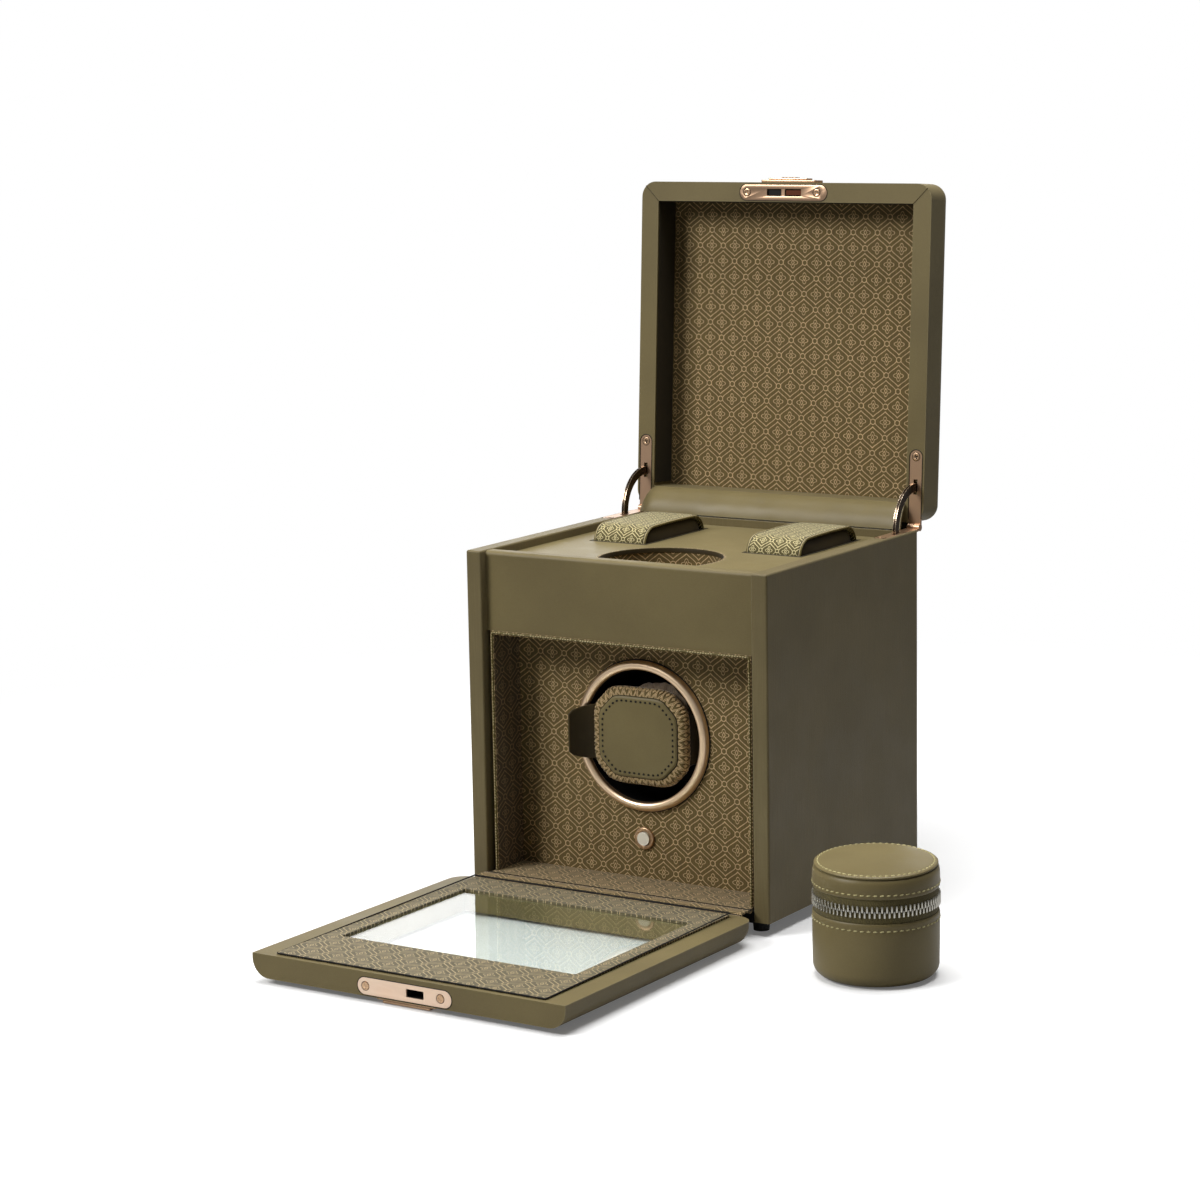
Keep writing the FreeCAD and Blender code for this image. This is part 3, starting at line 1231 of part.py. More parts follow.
def hinge_gusset():
    """Soft leather roll from the rear panel to the open lid, over the hinge line."""
    step = "gusset_thick * cos(45)"
    low, high = ("rear_inner + gusset_thick", "header_top + running_gap"), ("gusset_lid_y", "gusset_lid_z")
    profile = [(*low, "-gusset_bulge"), high, (f"{high[0]} - {step}", f"{high[1]} + {step}", "gusset_bulge"),
               (f"{low[0]} - {step}", f"{low[1]} + {step}")]
    width = ("-wall_inner + gusset_inset", "wall_inner - gusset_inset")
    node("hinge_gusset", padded("hinge_gusset", "x", width, profile))


def lid_fittings(screws):
    """The lid's fabric board, lock plate, lock case, bolt, catch plate and thumb slide."""
    on_lid("lid_lining", group("lid_lining", block(
        "lid_lining_board", ("-cavity_half", "cavity_half"), ("cavity_front", "cavity_rear"),
        ("cavity_top - lid_lining", "cavity_top"))))
    slots = [("bolt_slot_low", "bolt_slot_high"), ("-spare_slot_high", "-spare_slot_low")]
    on_lid("lid_lock_plate", lock_plate("lid_lock_plate", ("rim_z", "lock_plate_top"), slots, screws))
    on_lid("lid_lock_case", lock_case("lid_lock_case", ("lock_plate_top", "lock_case_top"),
                                      ("lock_plate_top", "lock_case_top - lock_plate")))
    on_lid("lid_bolt", group("lid_bolt", block(
        "lid_bolt_bar", ("bolt_low", "bolt_high"), around("lock_y", "bolt_thick / 2"),
        ("rim_z + running_gap", "rim_z + running_gap + bolt_length"))))
    on_lid("lid_screws", group("lid_screws", screws))
    plate = padded("lid_escutcheon", "y", ("escutcheon_front", "lid_front_y"),
                   rectangle(("-escutcheon_left", "escutcheon_right"),
                             ("escutcheon_low", "escutcheon_low + escutcheon_height")))
    rounded(plate, "leather_round", lambda edge: along("y", edge))
    on_lid("lid_escutcheon", plate)
    front = "escutcheon_front - thumb_gap"
    slide = padded("lid_thumb_slide", "y", (f"{front} - thumb_thick", front),
                   rectangle(("-thumb_left", "thumb_right"), ("thumb_low", "thumb_low + thumb_height")))
    rounded(slide, "thumb_thick / 2", lying(y=f"{front} - thumb_thick"))
    on_lid("lid_thumb_slide", slide)


def lock_plate(name, ends, slots, screws):
    """A full-round lock plate with its slots and screw holes."""
    plate = stadium(name + "_blank", "z", ("-lock_length / 2", "lock_length / 2"),
                    "lock_width / 2", ends, "lock_y")
    holes = [
        stadium(f"{name}_slot_{i}", "z", slot, "slot_height / 2",
                (f"{ends[0]} - {OVERRUN}", f"{ends[1]} + {OVERRUN}"), "lock_y")
        for i, slot in enumerate(slots)
    ]
    return cut(name, plate, *holes, screws)


def lock_case(name, ends, room):
    """A box behind a lock plate, open towards the plate's slot."""
    shell = block(name + "_box", lock_case_span(), around("lock_y", "lock_case_width / 2"), ends)
    hollow = block(name + "_room", ("bolt_slot_low", "bolt_slot_high"),
                   around("lock_y", "slot_height / 2"), room)
    return cut(name, shell, hollow)


# Door


def door(screws):
    """Fold-down door: frame, raised fabric board, glass, lock plate, keeper and pull."""
    window = (around("0", "half_window"), ("window_z", "window_top"))
    frame = padded("door_frame_body", "y", ("door_outer", "door_inner"),
                   rectangle(("-half_width", "half_width"), ("door_low", "door_top")), rectangle(*window))
    foot = number("door_low")
    rounded(frame, "door_corner",
            lambda edge: along("y", edge) and abs(edge.BoundBox.ZMin - foot) < NEAR, "corners")
    outer, head, half = lying(y="door_outer"), lying(z="door_top"), number("half_width")
    opening = number("half_window")

    def rim(edge):
        """Whether an edge bounds the outer face outside the window, other than the free edge."""
        box = edge.BoundBox
        inside = max(abs(box.XMin), abs(box.XMax)) < opening + NEAR
        around_window = inside and box.ZMin > foot + NEAR
        return outer(edge) and not head(edge) and not around_window and box.XMin > -half - NEAR

    rounded(frame, "door_round", rim, "outer")
    rebate = block("glass_rebate", around("0", "half_window + glass_lap + glass_clearance"),
                   ("glass_inner", f"door_inner + {OVERRUN}"),
                   ("window_z - glass_lap - glass_clearance", "window_top + glass_lap + glass_clearance"))
    recess = stadium("door_lock_recess", "z", ("-lock_length / 2", "lock_length / 2"), "lock_width / 2",
                     ("keeper_top", "door_top"), "lock_y")
    pocket = block("door_keeper_pocket", lock_case_span(), around("lock_y", "lock_case_width / 2"),
                   ("keeper_top - keeper_depth", "keeper_top"))
    on_door("door_frame", cut("door_frame", frame, rebate, recess, pocket, screws))
    lining = padded("door_lining", "y", ("door_inner", "door_inner + door_lining"),
                    rectangle(("-lining_half", "lining_half"),
                              ("door_low + door_lining_low", "door_top - door_lining_high")),
                    rectangle(*window))
    on_door("door_lining", rounded(lining, "window_corner", lambda edge: along("y", edge)))
    on_door("door_glass", group("door_glass", block(
        "door_glass_sheet", around("0", "half_window + glass_lap"), ("glass_inner", "door_inner"),
        ("window_z - glass_lap", "window_top + glass_lap"))))
    slots = [("bolt_slot_low", "bolt_slot_high")]
    on_door("door_lock_plate", lock_plate("door_lock_plate", ("keeper_top", "door_top"), slots, screws))
    low = "keeper_top - keeper_depth"
    room = (f"{low} + lock_plate", "keeper_top")
    on_door("door_keeper", lock_case("door_keeper", (low, "keeper_top"), room))
    on_door("door_screws", group("door_screws", screws))
    base = block("pull_base_bar", ("-pull_left", "pull_right"), ("door_outer - pull_base", "door_outer"),
                 ("pull_low", "pull_top"))
    step = block("pull_step_bar", ("-pull_left + pull_step_inset", "pull_right - pull_step_inset"),
                 ("pull_outer", "door_outer - pull_base"), ("pull_low", "pull_top"))
    on_door("door_pull", fuse("door_pull", base, step))


def door_hinge_strip():
    """Fabric over the fold between the recess floor and the door that lies open."""
    low = "door_axis_y - door_axis_drop + running_gap"
    node("door_hinge_strip", block("door_hinge_strip", ("-wall_inner", "wall_inner"),
                                   (low, "front_y - floor_nose - running_gap"),
                                   ("floor_z - strip_thick", "floor_z")))


# Travel case


def travel_case():
    """Round zipped case: base, cushion, two zip tapes, domed lid and slider."""
    place = ("case_x", "case_y")
    profile = [("0", "0"), ("case_radius - case_foot_round", "0", "case_foot_round"),
               ("case_radius", "case_foot_round"), ("case_radius", "case_base"), ("case_inner", "case_base"),
               ("case_inner", "case_floor"), ("0", "case_floor")]
    node("case_base", turned("case_base", "z", place, profile))
    node("lower_zip_tape", turned("lower_zip_tape", "z", place,
                                  rectangle(("tape_inner", "tape_outer"), ("case_base", "tape_top"))))
    cushion = turned("case_cushion", "z", place,
                     rectangle(("0", "cushion_radius"), ("case_floor", "case_floor + cushion_height")))
    node("case_cushion", rounded(cushion, "cushion_round", lying(z="case_floor + cushion_height")))
    node("upper_zip_tape", turned("upper_zip_tape", "z", place,
                                  rectangle(("tape_inner", "tape_outer"), ("upper_tape_low", "case_lid_low"))))
    dome = "(case_radius^2 + case_dome^2) / 2 / case_dome"
    profile = [("case_inner", "case_lid_low"), ("case_radius", "case_lid_low"),
               ("case_radius", "case_band_top", dome), ("0", "case_top"),
               ("0", "case_ceiling"), ("case_inner", "case_ceiling")]
    lid = turned("case_lid", "z", place, profile)
    node("case_lid", rounded(lid, "case_lid_round", lying(z="case_band_top")))
    zip_slider()


def zip_slider():
    """Zip slider on the lower tape, parked beside the case's hinge."""
    slider = padded("zip_slider_body", "x", around("0", "slider_width / 2"),
                    rectangle(("slider_inner", "slider_inner + slider_thick"), ("slider_low", "tape_top")))
    rounded(slider, "slider_thick / 3", lambda edge: along("z", edge))
    core = rod("zip_slider_core", "z", "slider_inner", (f"slider_low - {OVERRUN}", f"tape_top + {OVERRUN}"),
               ("0", "0"))
    piece = cut("zip_slider", slider, core)
    turn = FreeCAD.Rotation(UP, number("slider_park_angle"))
    piece.Placement = FreeCAD.Placement(FreeCAD.Vector(number("case_x"), number("case_y"), 0), turn)
    node("zip_slider", piece)


def build():
    """Make every sub-part."""
    fill_sheets()
    screws, lid_screws, door_screws = casing_screws(), closed_lid_screws(), closed_door_screws()
    side_panels(screws)
    rear_panel()
    header_panel()
    base_board()
    feet()
    recess_lining()
    ceiling_board()
    winder_panel(screws)
    bezel_ring()
    tray_board()
    tray_well()
    cuff_wells()
    storage_cuffs()
    drum()
    gears()
    module_housing(screws)
    bearing_bush()
    motor_bracket(screws)
    gearmotor()
    control_board(screws)
    dc_jack()
    button()
    winding_cuff()
    node("machine_screws", group("machine_screws", screws))
    lid_shell(lid_screws)
    hinge_plates(screws, lid_screws)
    hinge_pins()
    stay_arms()
    hinge_gusset()
    lid_fittings(lid_screws)
    door(door_screws)
    door_hinge_strip()
    travel_case()
    doc.recompute()


def check():
    """Stop if any object failed to build or any sub-part is missing or invalid."""
    for item in doc.Objects:
        if {"Invalid", "Error"} & set(item.State):
            raise RuntimeError(f"{item.Name} failed to build: {item.State}")
    for piece in NODES:
        if piece.Shape.isNull() or not piece.Shape.isValid():
            raise RuntimeError(f"{piece.Label} has no valid shape")


def export():
    """Write each sub-part to its own file."""
    os.makedirs("parts", exist_ok=True)
    for piece in NODES:
        piece.Shape.exportStep(f"parts/{piece.Label}.step")


build()
check()
export()
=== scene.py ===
"""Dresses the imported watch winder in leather, woven lining and rose-gold fittings.

Lengths are written in millimetres and turned into Blender's metres where meshes are made.
The lid and the door are drawn closed and then swung to where they stand open.
"""

import logging
import math
import random
from dataclasses import dataclass, field
from enum import Enum
from typing import Callable, Iterable, Sequence

import bmesh
import bpy
from mathutils import Matrix, Vector, noise


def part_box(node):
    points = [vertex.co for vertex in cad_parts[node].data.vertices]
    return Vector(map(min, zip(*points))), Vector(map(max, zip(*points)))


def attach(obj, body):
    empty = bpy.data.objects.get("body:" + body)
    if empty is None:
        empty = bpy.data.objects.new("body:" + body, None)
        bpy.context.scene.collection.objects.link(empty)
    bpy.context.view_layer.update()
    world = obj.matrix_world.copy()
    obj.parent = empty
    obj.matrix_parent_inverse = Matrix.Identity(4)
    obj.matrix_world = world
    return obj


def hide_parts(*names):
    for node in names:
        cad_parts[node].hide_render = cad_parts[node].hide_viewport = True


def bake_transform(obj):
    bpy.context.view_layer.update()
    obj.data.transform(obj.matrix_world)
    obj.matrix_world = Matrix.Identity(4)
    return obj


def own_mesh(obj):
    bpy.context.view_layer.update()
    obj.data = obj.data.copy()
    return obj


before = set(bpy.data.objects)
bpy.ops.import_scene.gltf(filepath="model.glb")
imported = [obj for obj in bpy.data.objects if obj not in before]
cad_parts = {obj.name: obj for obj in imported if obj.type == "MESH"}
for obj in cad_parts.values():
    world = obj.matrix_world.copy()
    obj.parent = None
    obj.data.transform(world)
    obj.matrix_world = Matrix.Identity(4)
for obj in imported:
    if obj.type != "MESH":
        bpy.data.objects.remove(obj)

MM = 0.001
TAU = math.tau
QUARTER = TAU / 4
WELD_DISTANCE = 1e-6
LEAST_LENGTH = 1e-9
BROKEN_EDGE = 1.2
CLOTH_QUALITY = 5
CLOTH_MASS = 0.2
CLOTH_FRAMES = 20
FORWARD = Vector((0, -1, 0))
UPWARD = Vector((0.0, 0.0, 1.0))
WHITE = (1.0, 1.0, 1.0, 1.0)
log = logging.getLogger("watch_winder")
Spot = tuple[float, float]


def mm(x: float, y: float, z: float) -> Vector:
    """Return a place or a step given in millimetres."""
    return Vector((x, y, z)) * MM


def shift(x: float, y: float, z: float) -> Matrix:
    """Return a move given in millimetres."""
    return Matrix.Translation(mm(x, y, z))


@dataclass(frozen=True)
class Swing:
    """A turn about a line along X, from a part's closed place to where it stands open."""

    pivot_y: float
    pivot_z: float
    degrees: float

    def matrix(self) -> Matrix:
        """Return the turn in metres."""
        centre = mm(0.0, self.pivot_y, self.pivot_z)
        turn = Matrix.Rotation(math.radians(self.degrees), 4, "X")
        return Matrix.Translation(centre) @ turn @ Matrix.Translation(-centre)


LID_SWING = Swing(pivot_y=98.0, pivot_z=205.1, degrees=-93.4)
DOOR_SWING = Swing(pivot_y=-100.36, pivot_z=5.39, degrees=89.493)


class Side(Enum):
    """The two sides of the winder, as signs along X."""

    LEFT = -1
    RIGHT = 1


class Projection(Enum):
    """Where a woven pattern reads its two coordinates."""

    WALL = "across X and Z"
    LINER = "the plane nearest to the surface"
    WELL = "round the travel case's well"
    LID = "across the closed lid"
    DOOR = "across the closed door"
    MAP = "the mesh's own map"


class Signal:
    """One output of a shader node, with arithmetic that adds Math nodes."""

    def __init__(self, graph: "Graph", socket: bpy.types.NodeSocket) -> None:
        """Keep the graph and the socket."""
        self.graph = graph
        self.socket = socket

    def apply(self, operation: str, *others: "Signal | float") -> "Signal":
        """Return a Math node's result on this signal and the others."""
        return self.graph.math(operation, self, *others)

    def __add__(self, other: "Signal | float") -> "Signal":
        """Add."""
        return self.apply("ADD", other)

    def __sub__(self, other: "Signal | float") -> "Signal":
        """Subtract."""
        return self.apply("SUBTRACT", other)

    def __mul__(self, other: "Signal | float") -> "Signal":
        """Multiply."""
        return self.apply("MULTIPLY", other)

    def __truediv__(self, other: "Signal | float") -> "Signal":
        """Divide."""
        return self.apply("DIVIDE", other)

    def __abs__(self) -> "Signal":
        """Return the size without its sign."""
        return self.apply("ABSOLUTE")

    def flipped(self) -> "Signal":
        """Return one less this signal."""
        return self.graph.math("SUBTRACT", 1.0, self)

    def repeat(self) -> "Signal":
        """Return the distance to the nearest whole number, from -0.5 to 0.5."""
        return (self + 0.5).apply("FRACT") - 0.5


class Graph:
    """Adds nodes to one node tree and joins them."""

    def __init__(self, tree: bpy.types.NodeTree) -> None:
        """Keep the tree."""
        self.tree = tree

    def feed(self, socket: bpy.types.NodeSocket, value: object) -> None:
        """Join a signal to a socket, or set the socket's own value.

        Args:
            socket: The socket.
            value: The signal or the value.
        """
        if isinstance(value, Signal):
            self.tree.links.new(value.socket, socket)
        else:
            socket.default_value = value

    def node(self, kind: str, settings: dict | None = None, **inputs: object) -> bpy.types.Node:
        """Add a node.

        Args:
            kind: The node's type, without its ShaderNode prefix.
            settings: Properties of the node itself.
            inputs: Values of its sockets, with underscores for spaces.

        Returns:
            The new node.
        """
        made = self.tree.nodes.new("ShaderNode" + kind)
        for key, value in (settings or {}).items():
            setattr(made, key, value)
        self.fill(made, **inputs)
        return made

    def fill(self, node: bpy.types.Node, **inputs: object) -> None:
        """Give a node's sockets their signals or values.

        Args:
            node: The node.
            inputs: Values of its sockets, with underscores for spaces.
        """
        for key, value in inputs.items():
            self.feed(node.inputs[key.replace("_", " ")], value)

    def find(self, kind: str) -> bpy.types.Node:
        """Return the node of a type that the tree began with."""
        return next(node for node in self.tree.nodes if node.type == kind)

    def read(self, node: bpy.types.Node, output: str | int = 0) -> Signal:
        """Return one output of a node."""
        return Signal(self, node.outputs[output])

    def math(self, operation: str, *values: Signal | float) -> Signal:
        """Return a Math node's result.

        Args:
            operation: The node's operation.
            values: Its inputs, signals or numbers.

        Returns:
            The result.
        """
        made = self.tree.nodes.new("ShaderNodeMath")
        made.operation = operation
        for socket, value in zip(made.inputs, values):
            self.feed(socket, value)
        return self.read(made)

    def split(self, vector: Signal) -> list[Signal]:
        """Return the three parts of a vector."""
        made = self.node("SeparateXYZ", Vector=vector)
        return [self.read(made, axis) for axis in "XYZ"]

    def join(self, *parts: Signal | float) -> Signal:
        """Return a vector made of up to three parts."""
        return self.read(self.node("CombineXYZ", **dict(zip("XYZ", parts))))

    def scaled(self, vector: Signal, *factors: float) -> Signal:
        """Return a vector with each part multiplied.

        Args:
            vector: The vector.
            factors: One factor for each of X, Y and Z.

        Returns:
            The scaled vector.
        """
        made = self.tree.nodes.new("ShaderNodeVectorMath")
        made.operation = "MULTIPLY"
        self.feed(made.inputs[0], vector)
        made.inputs[1].default_value = factors
        return self.read(made)

    def noise(self, vector: Signal, scale: float, detail: float = 3.0) -> Signal:
        """Return a noise texture's value."""
        return self.read(self.node("TexNoise", None, Vector=vector, Scale=scale, Detail=detail), "Fac")

    def ramp(self, value: Signal, low: float, high: float) -> Signal:
        """Return a smooth step.

        Args:
            value: What is compared.
            low: Where the step begins, at nothing.
            high: Where it ends, at one.

        Returns:
            The step's height.
        """
        made = self.tree.nodes.new("ShaderNodeMapRange")
        made.interpolation_type = "SMOOTHSTEP"
        for socket, number in zip(made.inputs, (value, low, high)):
            self.feed(socket, number)
        return self.read(made)

    def choose(self, factor: Signal | float, first: object, second: object, kind: str = "RGBA") -> Signal:
        """Return a mix.

        Args:
            factor: The share of the second.
            first: The first colour or number.
            second: The second colour or number.
            kind: RGBA for colours, FLOAT for numbers.

        Returns:
            The mix.
        """
        made = self.node("Mix", {"data_type": kind})
        low, out = (6, 2) if kind == "RGBA" else (2, 0)
        self.feed(made.inputs[0], factor)
        self.feed(made.inputs[low], first)
        self.feed(made.inputs[low + 1], second)
        return self.read(made, out)

    def bump(self, height: Signal, distance: float, strength: float = 1.0) -> Signal:
        """Return a normal bent by a height."""
        return self.read(self.node("Bump", None, Height=height, Distance=distance, Strength=strength))

    def effect(self, tree: bpy.types.NodeTree, **inputs: object) -> bpy.types.Node:
        """Place a node group.

        Args:
            tree: The group.
            inputs: Values of its sockets.

        Returns:
            The group's node.
        """
        return self.node("Group", {"node_tree": tree}, **inputs)

    def put_out(self, factor: Signal, first: bpy.types.Node, second: bpy.types.Node) -> None:
        """Give the material a mix of two shaders.

        Args:
            factor: The share of the second.
            first: The first shader.
            second: The second shader.
        """
        blend = self.tree.nodes.new("ShaderNodeMixShader")
        for socket, value in zip(blend.inputs, (factor, self.read(first), self.read(second))):
            self.feed(socket, value)
        self.feed(self.find("OUTPUT_MATERIAL").inputs["Surface"], self.read(blend))


class EffectGroup:
    """A shader node group with named inputs and outputs."""

    def __init__(self, name: str, inputs: dict[str, float | None], outputs: Sequence[str]) -> None:
        """Make the group.

        Args:
            name: The group's name.
            inputs: Each input's usual value, or None for a vector.
            outputs: The names of the values that the group puts out.
        """
        self.tree = bpy.data.node_groups.new(name, "ShaderNodeTree")
        for label, value in inputs.items():
            kind = "NodeSocketVector" if value is None else "NodeSocketFloat"
            socket = self.tree.interface.new_socket(name=label, in_out="INPUT", socket_type=kind)
            if value is not None:
                socket.default_value = value
        for label in outputs:
            self.tree.interface.new_socket(name=label, in_out="OUTPUT", socket_type="NodeSocketFloat")
        self.graph = Graph(self.tree)
        self.entry = self.tree.nodes.new("NodeGroupInput")
        self.exit = self.tree.nodes.new("NodeGroupOutput")

    def input(self, label: str) -> Signal:
        """Return one of the group's inputs."""
        return self.graph.read(self.entry, label)

    def give(self, label: str, value: Signal) -> None:
        """Put a value out of the group."""
        self.graph.feed(self.exit.inputs[label], value)


class Effects:
    """The effects that several finishes share, each built once."""

    def __init__(self) -> None:
        """Build every shared effect."""
        self.leather = self.leather_grain()
        self.weave = self.thread_weave()
        self.lattice = self.ogee_lattice()
        self.edge_mask = self.edge_wear()
        self.handling = self.handling_marks()

    def leather_grain(self) -> bpy.types.NodeTree:
        """Pebbled grain with pores, broad tone changes and fine upright streaks."""
        group = EffectGroup("leather_grain", {"Vector": None, "Pebble": 0.9 * MM, "Upright": 0.0},
                            ("Height", "Tone", "Streak"))
        graph, spot = group.graph, group.input("Vector")
        size = graph.math("DIVIDE", 1.0, group.input("Pebble"))
        cells = graph.node("TexVoronoi", {"feature": "DISTANCE_TO_EDGE"}, Vector=spot, Scale=size)
        creases = graph.ramp(graph.read(cells, "Distance"), 0.0, 0.22)
        soft = graph.noise(spot, 900.0, 4.0)
        group.give("Height", creases * 0.6 + soft * 0.7)
        group.give("Tone", graph.ramp(graph.noise(spot, 16.0, 3.0), 0.3, 0.7))
        lines = graph.noise(graph.scaled(spot, 1.0, 1.0, 0.035), 1500.0, 2.0)
        group.give("Streak", graph.ramp(lines, 0.3, 0.7) * group.input("Upright"))
        return group.tree

    def thread_weave(self) -> bpy.types.NodeTree:
        """Twill of crossing threads, with uneven yarn."""
        group = EffectGroup("thread_weave", {"Vector": None, "Pitch": 0.42 * MM}, ("Height", "Yarn"))
        graph = group.graph
        spot, pitch = group.input("Vector"), group.input("Pitch")
        across, along, _ = graph.split(spot)
        waves = [
            (value / pitch * TAU).apply("SINE") * 0.5 + 0.5
            for value in (across, along, (across + along) * 0.5)
        ]
        group.give("Height", waves[0] * 0.25 + waves[1] * 0.35 + waves[2] * 0.4)
        group.give("Yarn", graph.ramp(graph.noise(graph.scaled(spot, 1.0, 0.2, 1.0), 900.0, 2.0), 0.3, 0.7))
        return group.tree

    def ogee_lattice(self) -> bpy.types.NodeTree:
        """Traditional ogee trellis of double lines with rings, four-lobed flowers and lozenges."""
        group = EffectGroup(
            "ogee_lattice",
            {"Vector": None, "Width": 16.5 * MM, "Height": 19.0 * MM, "Line": 0.3 * MM, "Unit": MM},
            ("Line",),
        )
        graph = group.graph
        width, height, line, unit = (group.input(name) for name in ("Width", "Height", "Line", "Unit"))
        across, along, _ = graph.split(group.input("Vector"))
        column, row = across / width, along / height
        bow = (row * TAU).apply("COSINE") * 0.25
        lean = (row * TAU).apply("SINE") * (width / height) * (TAU * 0.25)
        steep = (lean * lean + 1.0).apply("POWER", -0.5)
        rails = abs((column - bow).repeat()).apply("MINIMUM", abs((column + bow + 0.5).repeat()))
        rail = rails * width * steep

        def stroke(distance: Signal) -> Signal:
            """Return the mask of a drawn line, from the distance to its middle."""
            return graph.math("SUBTRACT", 1.0, graph.ramp(distance / line, 0.5, 1.15))

        quarter = [(column - place).repeat() * width for place in (0.25, 0.75)]
        level = [(row - place).repeat() * height for place in (0.0, 0.5)]

        def reach(first: Signal, second: Signal) -> Signal:
            """Return the length of a flat vector."""
            return (first * first + second * second).apply("SQRT")

        joint = reach(quarter[0], level[0]).apply("MINIMUM", reach(quarter[1], level[1]))
        nearer = reach(quarter[0], level[1]).apply("LESS_THAN", reach(quarter[1], level[0]))
        side = graph.choose(nearer, quarter[1], quarter[0], "FLOAT")
        rise = graph.choose(nearer, level[0], level[1], "FLOAT")
        turn = rise.apply("ARCTAN2", side)
        lobes = ((turn * 4.0).apply("COSINE") * 0.75 + 2.6) * unit
        masks = [
            stroke(abs(rail - unit * 1.3)) * graph.ramp(joint / unit, 1.5, 1.7),
            stroke(abs(joint - unit * 1.6)),
            stroke(abs(reach(side, rise) - lobes)),
            stroke(abs(abs(side) + abs(rise) * 0.62 - unit * 0.95)),
        ]
        total = masks[0]
        for mask in masks[1:]:
            total = total.apply("MAXIMUM", mask)
        group.give("Line", total)
        return group.tree

    def edge_wear(self) -> bpy.types.NodeTree:
        """Mask that is one along the edges of a solid."""
        group = EffectGroup("edge_wear", {"Radius": 1.2 * MM}, ("Mask",))
        graph = group.graph
        bevel = graph.node("Bevel", {"samples": 4}, Radius=group.input("Radius"))
        turned = graph.tree.nodes.new("ShaderNodeVectorMath")
        turned.operation = "DOT_PRODUCT"
        graph.feed(turned.inputs[0], graph.read(bevel, "Normal"))
        graph.feed(turned.inputs[1], graph.read(graph.node("NewGeometry"), "Normal"))
        group.give("Mask", graph.ramp(graph.read(turned, "Value").flipped(), 0.01, 0.22))
        return group.tree

    def handling_marks(self) -> bpy.types.NodeTree:
        """Soft smudges and a fine haze, from nothing to one."""
        group = EffectGroup("handling_marks", {"Vector": None}, ("Smudge", "Haze"))
        graph, spot = group.graph, group.input("Vector")
        group.give("Smudge", graph.ramp(graph.noise(spot, 38.0, 4.0), 0.42, 0.72))
        group.give("Haze", graph.noise(spot, 420.0, 3.0))
        return group.tree


def linear(shade: str) -> tuple[float, float, float, float]:
    """Return a written colour such as #716544 as Blender's linear numbers."""
    parts = [int(shade[start:start + 2], 16) / 255.0 for start in (1, 3, 5)]
    red, green, blue = (p / 12.92 if p <= 0.04045 else ((p + 0.055) / 1.055) ** 2.4 for p in parts)
    return red, green, blue, 1.0


class Finish:
    """What every finish can do: start a material and find a piece's own coordinates."""

    name: str

    def start(self) -> tuple[bpy.types.Material, Graph, bpy.types.Node]:
        """Return a new material, its graph and its Principled shader."""
        material = bpy.data.materials.new(self.name)
        material.use_nodes = True
        graph = Graph(material.node_tree)
        return material, graph, graph.find("BSDF_PRINCIPLED")

    def spot(self, graph: Graph) -> Signal:
        """Return the piece's own coordinates in metres."""
        return graph.read(graph.node("TexCoord"), "Object")


@dataclass(frozen=True)
class Leather(Finish):
    """Fine pebbled leather whose turned edges are rubbed lighter."""

    name: str
    colour: str
    shade: str
    worn_and_highlight: str
    pebble: float = 0.9
    relief: float = 0.035
    roughness: float = 0.47
    upright: float = 0.0
    edge: float = 1.1

    def build(self, effects: Effects) -> bpy.types.Material:
        """Build the material.

        Args:
            effects: The effects that finishes share.

        Returns:
            The material.
        """
        material, graph, shader = self.start()
        spot = self.spot(graph)
        grain = graph.effect(effects.leather, Vector=spot, Pebble=self.pebble * MM, Upright=self.upright)
        height, tone, streak = (graph.read(grain, name) for name in ("Height", "Tone", "Streak"))
        base = graph.choose(tone * 0.5 + height * 0.35, linear(self.shade), linear(self.colour))
        base = graph.choose(streak * 0.55, base, linear(self.shade))
        edge_mask = graph.read(graph.effect(effects.edge_mask, Radius=self.edge * MM))
        base = graph.choose(edge_mask * 0.5, base, linear(self.worn_and_highlight))
        marks = graph.effect(effects.handling, Vector=spot)
        gloss = graph.read(marks, "Smudge") * -0.07 + self.roughness
        graph.fill(shader, Base_Color=base, Roughness=gloss + height * 0.05,
                   Normal=graph.bump(height + streak * 0.6, self.relief * MM),
                   Specular_IOR_Level=0.3, Sheen_Weight=0.08, Sheen_Roughness=0.4)
        return material


